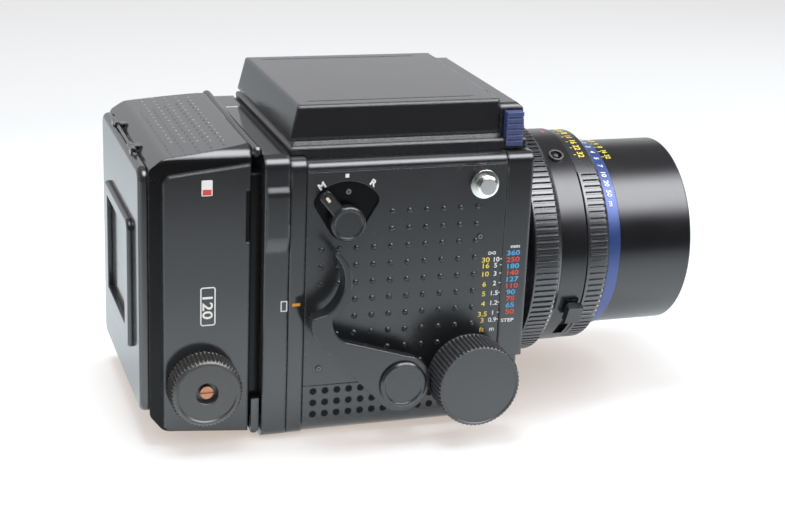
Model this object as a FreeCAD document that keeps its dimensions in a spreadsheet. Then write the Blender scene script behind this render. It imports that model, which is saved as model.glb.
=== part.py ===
import FreeCAD, Part
import Sketcher
import math
import os
from FreeCAD import Placement, Rotation, Vector

# Medium format reflex film camera with a rotating roll film back, a folding
# waist level finder, a bellows front and an interchangeable leaf shutter lens.
# Millimetres. +X points where the lens looks, +Y to the camera's left, +Z up.
# The origin is the tripod socket's mouth, on the base plane below the lens axis.

sizes = {
    # body shell
    "body_rear": -36.0,
    "body_length": 81.0,
    "body_width": 106.4,
    "body_height": 113.6,
    "skin": 1.4,
    "shoulder_radius": 3.6,
    "base_radius": 9.0,
    "panel_bottom": 21.9,
    "panel_top": 109.8,
    "seam": 0.2,
    "optical_height": 61.3,
    "mirror_box_width": 73.0,
    "mirror_box_floor": 29.0,
    "mirror_box_top": 104.0,
    "chin_length": 10.3,
    "chin_height": 27.3,
    "chin_inset": 3.2,
    # fits
    "running_gap": 0.05,
    "sliding_gap": 0.1,
    "face_gap": 0.3,
    # grip pattern
    "dot_pitch": 7.03,
    "dot_radius": 0.8,
    "dot_rise": 0.5,
    "dot_column": -29.9,
    "dot_row": 92.6,
    "dimple_pitch": 4.9,
    "dimple_radius": 1.3,
    "dimple_depth": 0.7,
    "dimple_column": -31.8,
    "dimple_row": 19.5,
    # tripod socket and battery
    "tripod_plate_side": 34.0,
    "tripod_plate_thickness": 3.0,
    "tripod_thread_radius": 3.175,
    "tripod_thread_depth": 8.0,
    "tripod_boss_radius": 8.0,
    "battery_radius": 6.5,
    "battery_length": 25.0,
    "battery_side": 14.0 + 18.0,
    "battery_height": 10.0,
    "battery_cover_length": 31.0,
    "battery_cover_width": 17.0,
    "battery_cover_thickness": 2.2,
    # strap lugs and shoe
    "screw_radius": 1.3,
    "screw_rise": 0.3,
    "lug_place": 35.4,
    "lug_height": 102.0,
    "lug_base_radius": 5.8,
    "lug_neck_radius": 3.0,
    "lug_head_radius": 4.2,
    "lug_rise": 5.4,
    "shoe_width": 21.6,
    "shoe_length": 20.0,
    "shoe_place": 20.0,
    "shoe_height": 71.0,
    "shoe_slot": 18.7,
    # focusing drive
    "knob_place": 30.3,
    "knob_height": 25.0,
    "focus_shaft_radius": 3.0,
    "focus_travel": 46.0,
    "gear_module": 0.8,
    "pinion_teeth": 15,
    "gear_backlash": 0.25,
    "pinion_width": 5.0,
    "rail_place": 44.5,
    "rail_width": 5.6,
    "rail_depth": 6.0,
    "rail_rear": -28.0,
    "focus_knob_radius": 17.0,
    "focus_knob_face": 75.0,
    "focus_knob_thickness": 15.0,
    "focus_knob_flutes": 16,
    "focus_lock_radius": 12.0,
    "focus_lock_thickness": 4.0,
    "focus_lock_reach": 25.0,
    # front standard and bellows
    "standard_thickness": 10.8,
    "standard_bottom": 27.9,
    "throat_radius": 32.5,
    "mount_boss_radius": 44.5,
    "mount_boss_rise": 4.4,
    "bellows_half": 31.0,
    "bellows_fold": 3.0,
    "bellows_rear": 33.0,
    "bellows_folds": 6,
    "bellows_wall": 0.8,
    "bellows_window": 26.0,
    "bellows_seat": 2.0,
    # mirror and screen
    "mirror_length": 60.0,
    "mirror_width": 66.0,
    "mirror_axis_place": -30.5,
    "mirror_axis_height": 96.0,
    "mirror_angle": 45.0,
    "mirror_plate": 2.4,
    "mirror_glass": 1.6,
    "mirror_pin_radius": 1.0,
    "screen_ledge": 1.8,
    "screen_thickness": 2.4,
    "screen_height": 105.6,
    "finder_well": 66.0,
    # cocking lever, mode lever, speed dial, shutter release
    "cocking_place": 1.3,
    "cocking_height": 25.0,
    "cocking_hub_radius": 9.5,
    "cocking_boss_radius": 11.6,
    "cocking_arm_inner": 61.0,
    "cocking_arm_outer": 65.5,
    "cocking_finger_inner": 58.2,
    "cocking_hub_outer": 67.4,
    "mode_place": -20.4,
    "mode_height": 89.4,
    "mode_radius": 6.9,
    "mode_reach": 15.8,
    "mode_rest_angle": 129.0,
    "mode_throw": 78.0,
    "mode_recess": 0.9,
    "mode_fan_reach": 16.2,
    "mode_rise": 4.2,
    "dial_place": -16.0,
    "dial_height": 86.0,
    "dial_radius": 15.5,
    "dial_rise": 10.0,
    "dial_flutes": 16,
    "release_side": -37.0,
    "release_height": 14.6,
    "release_radius": 4.0,
    "release_travel": 2.0,
    "collar_radius": 7.4,
    # lens
    "lens_spigot_radius": 44.0,
    "lens_tube_radius": 38.0,
    "lens_neck_radius": 32.0,
    "lens_tube_rear": 48.0,
    "lens_tube_front": 110.0,
    "lock_ring_rear": 61.3,
    "lock_ring_length": 12.4,
    "lock_ring_radius": 49.5,
    "lock_ring_flutes": 18,
    "base_barrel_radius": 46.0,
    "base_barrel_rear": 74.9,
    "base_barrel_front": 86.3,
    "aperture_rear": 86.6,
    "aperture_front": 97.7,
    "aperture_radius": 45.8,
    "aperture_nose_radius": 42.6,
    "aperture_grips": 20,
    "blue_rear": 98.0,
    "blue_front": 103.7,
    "blue_radius": 41.2,
    "barrel_rear": 104.0,
    "barrel_front": 136.9,
    "barrel_radius": 40.0,
    "filter_thread_radius": 38.5,
    "filter_thread_length": 5.5,
    "front_glass_radius": 27.0,
    "rear_glass_radius": 24.0,
    "socket_angle": 63.0,
    "socket_radius": 3.2,
    "socket_place": 79.7,
    "preview_angle": -25.0,
    "preview_throw": 18.0,
    "preview_width": 8.4,
    "preview_rise": 4.6,
    # finder
    "skirt_rear": -41.6,
    "skirt_half": 47.4,
    "skirt_top": 118.3,
    "band_half": 45.0,
    "band_top": 119.8,
    "cap_rear": 43.9,
    "cap_front": 55.1,
    "cap_top": 131.5,
    "cap_lift": 0.4,
    "cap_radius": 2.6,
    "lid_rear": -41.4,
    "lid_front": 43.6,
    "lid_half": 44.4,
    "lid_top": 133.5,
    "lid_wall": 1.5,
    "lid_plate": 1.8,
    "lid_draft": 0.6,
    "lid_slope": 3.3,
    "lid_edge": 1.2,
    "rim_half": 42.6,
    "rim_wall": 1.3,
    "rim_top": 125.4,
    "flap_axis_side": 40.2,
    "flap_axis_height": 124.0,
    "flap_reach": 25.5,
    "flap_rear": -30.0,
    "flap_front": 36.0,
    "flap_sheet": 0.9,
    "flap_barrel": 1.0,
    "flap_pin": 0.6,
    "rear_flap_axis": -33.6,
    "rear_flap_height": 127.0,
    "rear_flap_reach": 24.0,
    "rear_flap_half": 37.0,
    "magnifier_axis": 58.0,
    "magnifier_drop": 2.2,
    "magnifier_half": 13.0,
    "magnifier_reach": 28.0,
    "magnifier_sheet": 2.2,
    "magnifier_glass_radius": 10.5,
    "magnifier_pin": 0.5,
    "catch_rear": 45.9,
    "catch_front": 52.6,
    "catch_bottom": 115.4,
    "catch_top": 128.8,
    "catch_inner": 42.6,
    "catch_outer": 48.4,
    "catch_travel": 2.0,
    # rotating adapter and index ring
    "index_rear": -42.3,
    "index_half": 52.6,
    "index_bottom": 0.6,
    "index_top": 114.8,
    "bearing_radius": 46.0,
    "bearing_depth": 4.0,
    "adapter_rear": -52.3,
    "adapter_front": -42.6,
    "adapter_half": 52.5,
    "adapter_bottom": 0.4,
    "adapter_top": 116.0,
    "adapter_corner": 5.0,
    "pad_bottom": 82.0,
    "pad_top": 102.5,
    "pad_rise": 1.5,
    # film back
    "gate_width": 57.0,
    "gate_height": 70.5,
    "neck_half": 45.5,
    "neck_bottom": 8.0,
    "neck_top": 108.0,
    "back_front": -56.6,
    "back_rear": -95.7,
    "back_half": 47.6,
    "back_top": 119.2,
    "back_bottom": 1.6,
    "back_taper_top": 3.6,
    "back_taper_bottom": 3.6,
    "back_slope_end": -90.0,
    "back_nose_top": 111.6,
    "back_nose_bottom": 12.5,
    "back_shoulder": 7.0,
    "back_bend": 6.0,
    "back_lip": 3.0,
    "back_cavity_half": 38.5,
    "back_cavity_bottom": 10.6,
    "back_cavity_top": 109.4,
    "back_front_wall": 2.9,
    "side_pad_rise": 1.4,
    "cover_rear": -99.2,
    "cover_front": -95.9,
    "cover_half": 46.4,
    "cover_bottom": 13.0,
    "cover_top": 112.0,
    "cover_corner": 5.0,
    "cover_edge": 2.2,
    "cover_axis_place": -97.2,
    "cover_axis_height": 113.3,
    "cover_barrel": 1.2,
    "cover_pin": 0.6,
    "memo_rise": 1.9,
    "memo_half": 30.0,
    "memo_bottom": 34.0,
    "memo_top": 87.0,
    "memo_frame": 8.0,
    "spool_place": -75.4,
    "take_up_height": 25.0,
    "supply_height": 95.6,
    "spool_half": 32.6,
    "spool_flange_radius": 12.3,
    "spool_flange": 1.2,
    "spool_bore": 2.95,
    "film_on_supply": 10.5,
    "film_on_take_up": 7.5,
    "stud_gap": 0.05,
    "insert_half": 37.0,
    "insert_cheek": 1.4,
    "insert_rear": -90.0,
    "insert_front": -60.0,
    "insert_half_height": 36.8,
    "roller_radius": 2.0,
    "roller_offset": 44.6,
    "roller_place": -63.2,
    "advance_knob_radius": 14.2,
    "advance_knob_inner": 49.4,
    "advance_knob_outer": 59.4,
    "advance_knob_flutes": 16,
    "slide_front": -54.25,
    "slide_thickness": 0.7,
    "slide_half_height": 36.8,
    "slide_tip": -32.5,
    "slide_slot_gap": 0.15,
    "lock_bar_place": -54.4,
    "lock_bar_radius": 2.0,
    "lock_bar_half": 48.0,
    "upper_bar_drop": 2.3,
    "lower_bar_rise": 1.7,
}

document = FreeCAD.newDocument("medium_format_camera")
sheet = document.addObject("Spreadsheet::Sheet", "Sizes")
for row, (alias, number) in enumerate(sizes.items(), start=1):
    sheet.set(f"A{row}", alias)
    sheet.set(f"B{row}", str(number))
    sheet.setAlias(f"B{row}", alias)
document.recompute()


class Size:
    """A length, angle or count: its number now, and the sheet formula that keeps it."""

    def __init__(self, number, formula):
        self.number = float(number)
        self.formula = formula

    def joined(self, other, sign, number):
        return Size(number, f"({self.formula} {sign} {other.formula})")

    def __add__(self, other):
        other = size(other)
        return self.joined(other, "+", self.number + other.number)

    def __sub__(self, other):
        other = size(other)
        return self.joined(other, "-", self.number - other.number)

    def __mul__(self, other):
        other = size(other)
        return self.joined(other, "*", self.number * other.number)

    def __truediv__(self, other):
        other = size(other)
        return self.joined(other, "/", self.number / other.number)

    def __radd__(self, other):
        return size(other) + self

    def __rsub__(self, other):
        return size(other) - self

    def __rmul__(self, other):
        return size(other) * self

    def __neg__(self):
        return Size(-self.number, f"(-1 * {self.formula})")


def size(value):
    if isinstance(value, Size):
        return value
    return Size(value, str(float(value)))


class Cells:
    """The sheet's cells by name."""


cell = Cells()
for alias in sizes:
    setattr(cell, alias, Size(sheet.get(alias), "Sizes." + alias))


# Building blocks

def bind(thing, attribute, value):
    value = size(value)
    thing.setExpression(attribute, value.formula)


def place(thing, x=0, y=0, z=0):
    for letter, value in zip("xyz", (x, y, z)):
        bind(thing, "Placement.Base." + letter, value)


def box(name, x, y, z):
    """A block between the low and high values given for each axis."""
    block = document.addObject("Part::Box", name)
    for attribute, (low, high) in zip(("Length", "Width", "Height"), (x, y, z)):
        bind(block, attribute, size(high) - low)
    place(block, x[0], y[0], z[0])
    return block


def about(middle, half):
    return (size(middle) - half, size(middle) + half)


def both(half):
    return about(0, half)


TURN = {
    "x": Rotation(Vector(0, 1, 0), 90),
    "y": Rotation(Vector(1, 0, 0), -90),
    "z": Rotation(),
}


def rod(name, axis, radius, span, centre):
    """A cylinder along an axis, from span[0] to span[1], at centre in the other two axes."""
    bar = document.addObject("Part::Cylinder", name)
    bar.Placement = Placement(Vector(), TURN[axis])
    bind(bar, "Radius", radius)
    bind(bar, "Height", size(span[1]) - span[0])
    others = [letter for letter in "xyz" if letter != axis]
    spot = dict(zip(others, centre))
    spot[axis] = span[0]
    place(bar, **spot)
    return bar


def join(name, *parts):
    whole = document.addObject("Part::MultiFuse", name)
    whole.Shapes = list(parts)
    return whole


def cut(name, base, *tools):
    result = document.addObject("Part::Cut", name)
    result.Base = base
    result.Tool = tools[0] if len(tools) == 1 else join(name + "_tools", *tools)
    return result


def shared(name, first, second):
    result = document.addObject("Part::Common", name)
    result.Base = first
    result.Tool = second
    return result


def rounded(name, base, radius, test):
    """Fillet the edges of a solid that the test picks."""
    document.recompute()
    picked = [i for i, edge in enumerate(base.Shape.Edges, start=1) if test(edge)]
    result = document.addObject("Part::Fillet", name)
    result.Base = base
    result.Edges = [(i, radius.number, radius.number) for i in picked]
    return result


def runs_along(edge, axis):
    """Whether a straight edge lies along x, y or z."""
    if edge.Curve.TypeId != "Part::GeomLine":
        return False
    direction = edge.Curve.Direction
    return abs(getattr(direction, axis)) > 0.99


def shaped(name, shape):
    feature = document.addObject("Part::Feature", name)
    feature.Shape = shape
    return feature


def origin_plane(body, role):
    return [f for f in body.Origin.OriginFeatures if f.Role == role][0]


def outline(body, name, role, corners, offset=None):
    """A closed sketch of straight lines, every corner dimensioned from the origin."""
    sketch = body.newObject("Sketcher::SketchObject", name)
    sketch.AttachmentSupport = (origin_plane(body, role), [""])
    sketch.MapMode = "FlatFace"
    if offset is not None:
        bind(sketch, "AttachmentOffset.Base.z", offset)
    corners = [(size(u), size(v)) for u, v in corners]
    count = len(corners)
    for i, (u, v) in enumerate(corners):
        end_u, end_v = corners[(i + 1) % count]
        start = Vector(u.number, v.number, 0)
        end = Vector(end_u.number, end_v.number, 0)
        sketch.addGeometry(Part.LineSegment(start, end), False)
    for i in range(count):
        sketch.addConstraint(Sketcher.Constraint("Coincident", i, 2, (i + 1) % count, 1))
    for i, corner in enumerate(corners):
        for kind, letter, value in zip(("DistanceX", "DistanceY"), "uv", corner):
            entry = Sketcher.Constraint(kind, -1, 1, i, 1, value.number)
            number = sketch.addConstraint(entry)
            label = f"{letter}{i}"
            sketch.renameConstraint(number, label)
            sketch.setExpression("Constraints." + label, value.formula)
    return sketch


def turned(name, axis, corners, centre=(0, 0)):
    """A body turned about x or y. Corners are (distance along the axis, radius)."""
    body = document.addObject("PartDesign::Body", name)
    role = "XZ_Plane" if axis == "x" else "YZ_Plane"
    profile = outline(body, name + "_profile", role, corners)
    turn = body.newObject("PartDesign::Revolution", name + "_turned")
    turn.Profile = profile
    turn.ReferenceAxis = (profile, ["H_Axis"])
    turn.Angle = 360
    if axis == "x":
        place(body, y=centre[0], z=centre[1])
    else:
        place(body, x=centre[0], z=centre[1])
    return body


def fluted(body, axis, radius, width, depth, count, reach=None, span=360):
    """Cut evenly spaced notches in a turned body's rim. reach is (end, length) of a short notch."""
    role = "YZ_Plane" if axis == "x" else "XZ_Plane"
    half = size(width)
    top = size(radius) + depth
    bottom = size(radius) - depth
    corners = [(0, bottom), (half, top), (-half, top)]
    offset = None if reach is None else reach[0]
    mark = outline(body, body.Name + "_flute", role, corners, offset)
    groove = body.newObject("PartDesign::Pocket", body.Name + "_groove")
    groove.Profile = mark
    if reach is None:
        groove.Type = "ThroughAll"
        groove.Midplane = True
    else:
        bind(groove, "Length", reach[1])
    pattern = body.newObject("PartDesign::PolarPattern", body.Name + "_grooves")
    pattern.Originals = [groove]
    spindle = "X_Axis" if axis == "x" else "Y_Axis"
    pattern.Axis = (origin_plane(body, spindle), [""])
    pattern.Angle = span
    bind(pattern, "Occurrences", count)
    body.Tip = pattern
    return body


def prism(name, role, corners, start, length):
    """A pad of a straight-sided outline. start and length run along the plane's normal."""
    body = document.addObject("PartDesign::Body", name)
    profile = outline(body, name + "_profile", role, corners, start)
    pad = body.newObject("PartDesign::Pad", name + "_pad")
    pad.Profile = profile
    bind(pad, "Length", length)
    return body


sub_parts = []


def sub_part(label, thing):
    thing.Label = label
    sub_parts.append(thing)
    return thing


# Values that several pieces share

body_front = cell.body_rear + cell.body_length
body_half = cell.body_width / 2
core_half = body_half - cell.skin
box_half = cell.mirror_box_width / 2
axis_height = cell.optical_height
pitch_radius = cell.gear_module * cell.pinion_teeth / 2
rack_line = cell.knob_height + pitch_radius
rack_root = rack_line + cell.gear_module * 1.15
channel_low = cell.knob_height - pitch_radius - 1.8
channel_high = rack_root + cell.rail_depth + 0.7
channel_inner = cell.rail_place - cell.rail_width / 2 - 0.9
channel_outer = cell.rail_place + cell.rail_width / 2 + 0.9
standard_rear = body_front + cell.face_gap
standard_front = standard_rear + cell.standard_thickness
body_bar = (cell.body_rear, body_front)


# Body housing

def is_bottom_long_edge(edge):
    return runs_along(edge, "x") and edge.CenterOfMass.z < cell.base_radius.number / 2


def is_top_long_edge(edge):
    return runs_along(edge, "x") and edge.CenterOfMass.z > cell.body_height.number - 0.1


core_block = box("core_block", body_bar, both(core_half), (cell.skin, cell.mirror_box_top))
core = rounded("core", core_block, cell.base_radius - cell.skin, is_bottom_long_edge)
deck_block = box("deck_block", body_bar, both(core_half), (cell.mirror_box_top, cell.panel_top))
top_block = box("top_block", body_bar, both(body_half), (cell.panel_top, cell.body_height))
top_cap = rounded("top_cap", top_block, cell.shoulder_radius, is_top_long_edge)
chin_block = box(
    "chin_block",
    (body_front - 1, body_front + cell.chin_length),
    both(body_half - cell.chin_inset),
    (cell.chin_inset, cell.chin_height),
)
chin = rounded("chin", chin_block, cell.base_radius - cell.skin, is_bottom_long_edge)

mirror_space = box(
    "mirror_space",
    (cell.body_rear - 1, body_front + 1),
    both(box_half),
    (cell.mirror_box_floor, cell.mirror_box_top + 1),
)
finder_well = box(
    "finder_well",
    about(3, cell.finder_well / 2),
    both(cell.finder_well / 2),
    (cell.mirror_box_top - 1, cell.body_height + 1),
)
screen_half = cell.finder_well / 2 + cell.screen_ledge
screen_seat = box(
    "screen_seat",
    about(3, screen_half),
    both(screen_half),
    (cell.screen_height, cell.body_height + 1),
)
channels = [
    box(
        "channel_" + side,
        (cell.rail_rear - 2, body_front + 1),
        (inner, outer),
        (channel_low, channel_high),
    )
    for side, inner, outer in (
        ("right", -channel_outer, -channel_inner),
        ("left", channel_inner, channel_outer),
    )
]
shaft_bore = rod(
    "shaft_bore", "y", cell.focus_shaft_radius + cell.running_gap,
    both(body_half + 1), (cell.knob_place, cell.knob_height),
)
cocking_bore = rod(
    "cocking_bore", "y", cell.focus_shaft_radius + cell.running_gap,
    (-body_half - 1, -channel_outer + 1), (cell.cocking_place, cell.cocking_height),
)
mode_bore = rod(
    "mode_bore", "y", 2 + cell.running_gap,
    (-body_half - 1, -box_half - 4), (cell.mode_place, cell.mode_height),
)
dial_bore = rod(
    "dial_bore", "y", 2 + cell.running_gap,
    (box_half + 4, body_half + 1), (cell.dial_place, cell.dial_height),
)
release_bore = rod(
    "release_bore", "x", cell.release_radius + cell.running_gap,
    (body_front - 3, body_front + cell.chin_length + 1),
    (cell.release_side, cell.release_height),
)
battery_rear = cell.body_rear + 8
battery_chamber = box(
    "battery_chamber",
    (battery_rear, battery_rear + cell.battery_length + 2),
    about(cell.battery_side, cell.battery_radius + 0.5),
    (cell.skin - 1, cell.battery_height + cell.battery_radius + 0.5),
)
tripod_pocket = box(
    "tripod_pocket",
    both(cell.tripod_plate_side / 2),
    both(cell.tripod_plate_side / 2),
    (0, cell.tripod_plate_thickness),
)
tripod_boss_pocket = rod(
    "tripod_boss_pocket", "z", cell.tripod_boss_radius,
    (0, cell.tripod_thread_depth + 2), (0, 0),
)
cover_hinge = battery_rear - 1
cover_round = cell.battery_cover_thickness / 2
cover_ends = (cover_hinge - cover_round - 0.2, cover_hinge + cell.battery_cover_length)
battery_recess = box(
    "battery_recess", cover_ends,
    about(cell.battery_side, cell.battery_cover_width / 2 + cell.sliding_gap),
    (-1, cell.battery_cover_thickness + cell.face_gap),
)

mirror_pins = [
    rod(
        "mirror_pin_" + side, "y", cell.mirror_pin_radius,
        span, (cell.mirror_axis_place, cell.mirror_axis_height),
    )
    for side, span in (
        ("right", (-box_half - 1, -box_half + 4.5)),
        ("left", (box_half - 4.5, box_half + 1)),
    )
]
body_solid = join("body_solid", core, chin)
hollow_body = cut(
    "hollow_body", body_solid, mirror_space,
    *channels, shaft_bore, cocking_bore, mode_bore, dial_bore, release_bore,
    battery_chamber, tripod_pocket, tripod_boss_pocket, battery_recess,
)
sub_part("body_housing", join("housing", hollow_body, *mirror_pins))
sub_part(
    "top_cover",
    cut("deck", join("deck_solid", deck_block, top_cap), finder_well, screen_seat),
)
sub_part(
    "bellows_frame",
    cut(
        "bellows_plate",
        box(
            "bellows_plate_block",
            (cell.bellows_rear - 1.5, cell.bellows_rear),
            both(box_half),
            (cell.mirror_box_floor, axis_height + cell.bellows_half + 1.5),
        ),
        box(
            "bellows_plate_window",
            (cell.bellows_rear - 2, cell.bellows_rear + 1),
            both(cell.bellows_window),
            about(axis_height, cell.bellows_window),
        ),
    ),
)


# Side panels with a grid of raised dots

def square(half, y, centre):
    corners = ((-half, -half), (half, -half), (half, half), (-half, half), (-half, -half))
    return Part.makePolygon([Vector(centre[0] + u, y, centre[1] + v) for u, v in corners])


def square_stud(half, low, high, centre):
    """A small square stud along y whose sides lean in."""
    return Part.makeLoft([square(half, low, centre), square(half * 0.5, high, centre)],
                         True, True)


def square_pit(half, low, high, centre):
    """A small four-sided pit along y that ends in a point."""
    point = Part.Vertex(Vector(centre[0], high, centre[1]))
    return Part.makeLoft([square(half, low, centre), point], True, True)


def dot_places():
    """Grid places that the lever, the marks, the knob and the distance scale leave free."""
    pitch = cell.dot_pitch.number
    for row in range(10):
        z = cell.dot_row.number - row * pitch
        for column in range(10):
            x = cell.dot_column.number + column * pitch
            beside_marks = row < 2 and column < 4
            beside_lever = column < 2 and row in (0, 1, 5, 6, 8, 9)
            below_arm = row == 9 and column in (2, 3, 4)
            near_knob = row > 7 and column > 7
            if not (beside_marks or beside_lever or below_arm or near_knob):
                yield x, z


def side_panel(name, side):
    outer = body_half * side
    inner = core_half * side
    low, high = (inner, outer) if side > 0 else (outer, inner)
    return box(
        name, body_bar, (low, high),
        (cell.panel_bottom + cell.seam, cell.panel_top - cell.seam),
    )


def dots(name, side):
    surface = body_half.number * side
    tip = surface + cell.dot_rise.number * side
    pegs = [
        square_stud(cell.dot_radius.number, surface - 0.2 * side, tip, spot)
        for spot in dot_places()
    ]
    return shaped(name, Part.makeCompound(pegs))


def fan_shape():
    """The sunk sector behind the mode pointer: an arc whose ends run down to the disc."""
    hub = cell.mode_radius.number + 0.5
    reach = cell.mode_fan_reach.number
    floor = cell.mode_recess.number - body_half.number

    def at(angle, radius):
        turn = math.radians(angle)
        return Vector(
            cell.mode_place.number + radius * math.cos(turn), floor,
            cell.mode_height.number + radius * math.sin(turn),
        )

    runs = [
        (at(205, hub), at(152, reach - 1.8)),
        (at(152, reach - 1.8), at(146, reach - 0.5), at(138, reach)),
        (at(138, reach), at(90, reach), at(42, reach)),
        (at(42, reach), at(34, reach - 0.5), at(28, reach - 1.8)),
        (at(28, reach - 1.8), at(-25, hub)),
        (at(-25, hub), at(-90, hub), at(-155, hub)),
    ]
    edges = []
    for run in runs:
        curve = Part.LineSegment(*run) if len(run) == 2 else Part.Arc(*run)
        edges.append(curve.toShape())
    return Part.Face(Part.Wire(edges)).extrude(Vector(0, -cell.mode_recess.number - 1, 0))


fan = shaped("mode_fan", fan_shape())
right_blank = side_panel("right_blank", -1)
right_holes = [
    rod("right_shaft_hole", "y", cell.focus_shaft_radius + cell.running_gap,
        (-body_half - 1, -core_half + 1), (cell.knob_place, cell.knob_height)),
    rod("right_cocking_hole", "y", cell.focus_shaft_radius + cell.running_gap,
        (-body_half - 1, -core_half + 1), (cell.cocking_place, cell.cocking_height)),
    rod("right_mode_hole", "y", 2 + cell.running_gap,
        (-body_half - 1, -core_half + 1), (cell.mode_place, cell.mode_height)),
]
right_plate = cut("right_plate", right_blank, fan, *right_holes)
sub_part("right_side_panel", join("right_panel", right_plate, dots("right_dots", -1)))

left_blank = side_panel("left_blank", 1)
left_holes = [
    rod("left_shaft_hole", "y", cell.focus_shaft_radius + cell.running_gap,
        (core_half - 1, body_half + 1), (cell.knob_place, cell.knob_height)),
    rod("left_dial_hole", "y", 2 + cell.running_gap,
        (core_half - 1, body_half + 1), (cell.dial_place, cell.dial_height)),
]
sub_part("left_side_panel", cut("left_panel", left_blank, *left_holes))


# Base cover, dimpled where the hand holds it

cover_block = box("base_block", body_bar, both(body_half), (0, cell.panel_bottom))
cover_outer = rounded("base_outer", cover_block, cell.base_radius, is_bottom_long_edge)
cover_inner = rounded(
    "base_inner",
    box("base_inner_block", (cell.body_rear - 1, body_front + 1), both(core_half),
        (cell.skin, cell.panel_bottom + 1)),
    cell.base_radius - cell.skin,
    is_bottom_long_edge,
)


def dimple_pits():
    """Rows of pits along both long sides, in the flat above the rounded edge."""
    pits = []
    pitch = cell.dimple_pitch.number
    surface = body_half.number
    for side in (-1, 1):
        start = (surface + 0.3) * side
        floor = (surface - cell.dimple_depth.number) * side
        for row in range(3):
            for column in range(13):
                x = cell.dimple_column.number + column * pitch
                z = cell.dimple_row.number - row * pitch
                radius = cell.dimple_radius.number
                pits.append(square_pit(radius, start, floor, (x, z)))
    return Part.makeCompound(pits)


sub_part(
    "base_cover",
    cut(
        "base_shell", cover_outer, cover_inner, shaped("dimples", dimple_pits()),
        box("base_tripod_window", both(cell.tripod_plate_side / 2),
            both(cell.tripod_plate_side / 2), (-1, cell.skin + 1)),
        box("base_battery_window", cover_ends,
            about(cell.battery_side, cell.battery_cover_width / 2 + cell.sliding_gap),
            (-1, cell.skin + 1)),
    ),
)


# Tripod plate, battery and its sliding cover

tripod_plate = join(
    "tripod_blank",
    box("tripod_slab", both(cell.tripod_plate_side / 2), both(cell.tripod_plate_side / 2),
        (0, cell.tripod_plate_thickness)),
    rod("tripod_boss", "z", cell.tripod_boss_radius,
        (0, cell.tripod_thread_depth + 2), (0, 0)),
)
sub_part(
    "tripod_plate",
    cut("tripod_socket", tripod_plate,
        rod("tripod_thread", "z", cell.tripod_thread_radius,
            (-1, cell.tripod_thread_depth), (0, 0))),
)
sub_part(
    "battery",
    rod("battery_cell", "x", cell.battery_radius,
        (battery_rear + 1, battery_rear + 1 + cell.battery_length),
        (cell.battery_side, cell.battery_height)),
)
lid_sides = about(cell.battery_side, cell.battery_cover_width / 2)
battery_lid_blank = join(
    "battery_lid_blank",
    box("battery_lid_slab", (cover_hinge, cover_ends[1] - cell.sliding_gap), lid_sides,
        (0, cell.battery_cover_thickness)),
    rod("battery_lid_edge", "y", cover_round, lid_sides, (cover_hinge, cover_round)),
)
sub_part(
    "battery_cover",
    cut(
        "battery_lid", battery_lid_blank,
        box("battery_lid_grip", about(cover_ends[1] - 5, 1.5),
            about(cell.battery_side, cell.battery_cover_width / 4), (-1, 0.7)),
    ),
)


# Strap lugs, panel screws and the accessory shoe

def strap_lug(name, side):
    base = body_half * side
    rise = cell.lug_rise * side
    corners = [
        (base, 0),
        (base, cell.lug_base_radius),
        (base + rise * 0.28, cell.lug_base_radius),
        (base + rise * 0.34, cell.lug_neck_radius),
        (base + rise * 0.6, cell.lug_neck_radius),
        (base + rise * 0.62, cell.lug_head_radius),
        (base + rise * 0.92, cell.lug_head_radius),
        (base + rise, cell.lug_head_radius - 0.8),
        (base + rise, 0),
    ]
    return turned(name, "y", corners, (cell.lug_place, cell.lug_height))


sub_part("strap_lugs", join("lugs", strap_lug("lug_right", -1), strap_lug("lug_left", 1)))

recess_floor = -body_half + cell.mode_recess
screw_places = (
    ((-19.6, 101.2), recess_floor - cell.screw_rise, recess_floor),
    ((35.2, 80.1), -body_half - cell.screw_rise, -body_half),
    ((-29.8, 29.2), -body_half - cell.screw_rise, -body_half),
    ((-29.8, 104.0), body_half, body_half + cell.screw_rise),
    ((-29.8, 29.2), body_half, body_half + cell.screw_rise),
)
screw_heads = [
    rod(f"screw_{i}", "y", cell.screw_radius, (low, high), spot)
    for i, (spot, low, high) in enumerate(screw_places)
]
sub_part("panel_screws", join("screws", *screw_heads))

shoe_span = (cell.shoe_place, cell.shoe_place + cell.shoe_length)
shoe_rise = (cell.shoe_height, cell.shoe_height + cell.shoe_width)
shoe_block = box("shoe_block", shoe_span, (body_half, body_half + 5.2), shoe_rise)
shoe_middle = cell.shoe_height + cell.shoe_width / 2
shoe_slot = box(
    "shoe_slot", (cell.shoe_place - 1, cell.shoe_place + cell.shoe_length - 1.4),
    (body_half + 1.5, body_half + 3.8), about(shoe_middle, cell.shoe_slot / 2),
)
shoe_mouth = box(
    "shoe_mouth", (cell.shoe_place - 1, cell.shoe_place + cell.shoe_length - 1.4),
    (body_half + 3, body_half + 6), about(shoe_middle, cell.shoe_slot / 2 - 2.6),
)
sub_part("accessory_shoe", cut("shoe", shoe_block, shoe_slot, shoe_mouth))


# Index ring and rotating adapter, a round bearing between them

def framed_plate(name, x, half, z, corner):
    block = box(name + "_block", x, both(half), z)
    return rounded(name + "_plate", block, corner, lambda edge: runs_along(edge, "x"))


index_plate = framed_plate(
    "index", (cell.index_rear, cell.body_rear), cell.index_half,
    (cell.index_bottom, cell.index_top), cell.adapter_corner,
)
sub_part(
    "index_ring",
    cut("index_bore", index_plate,
        rod("index_hole", "x", cell.bearing_radius,
            (cell.index_rear - 1, cell.body_rear + 1), (0, axis_height))),
)

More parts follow.
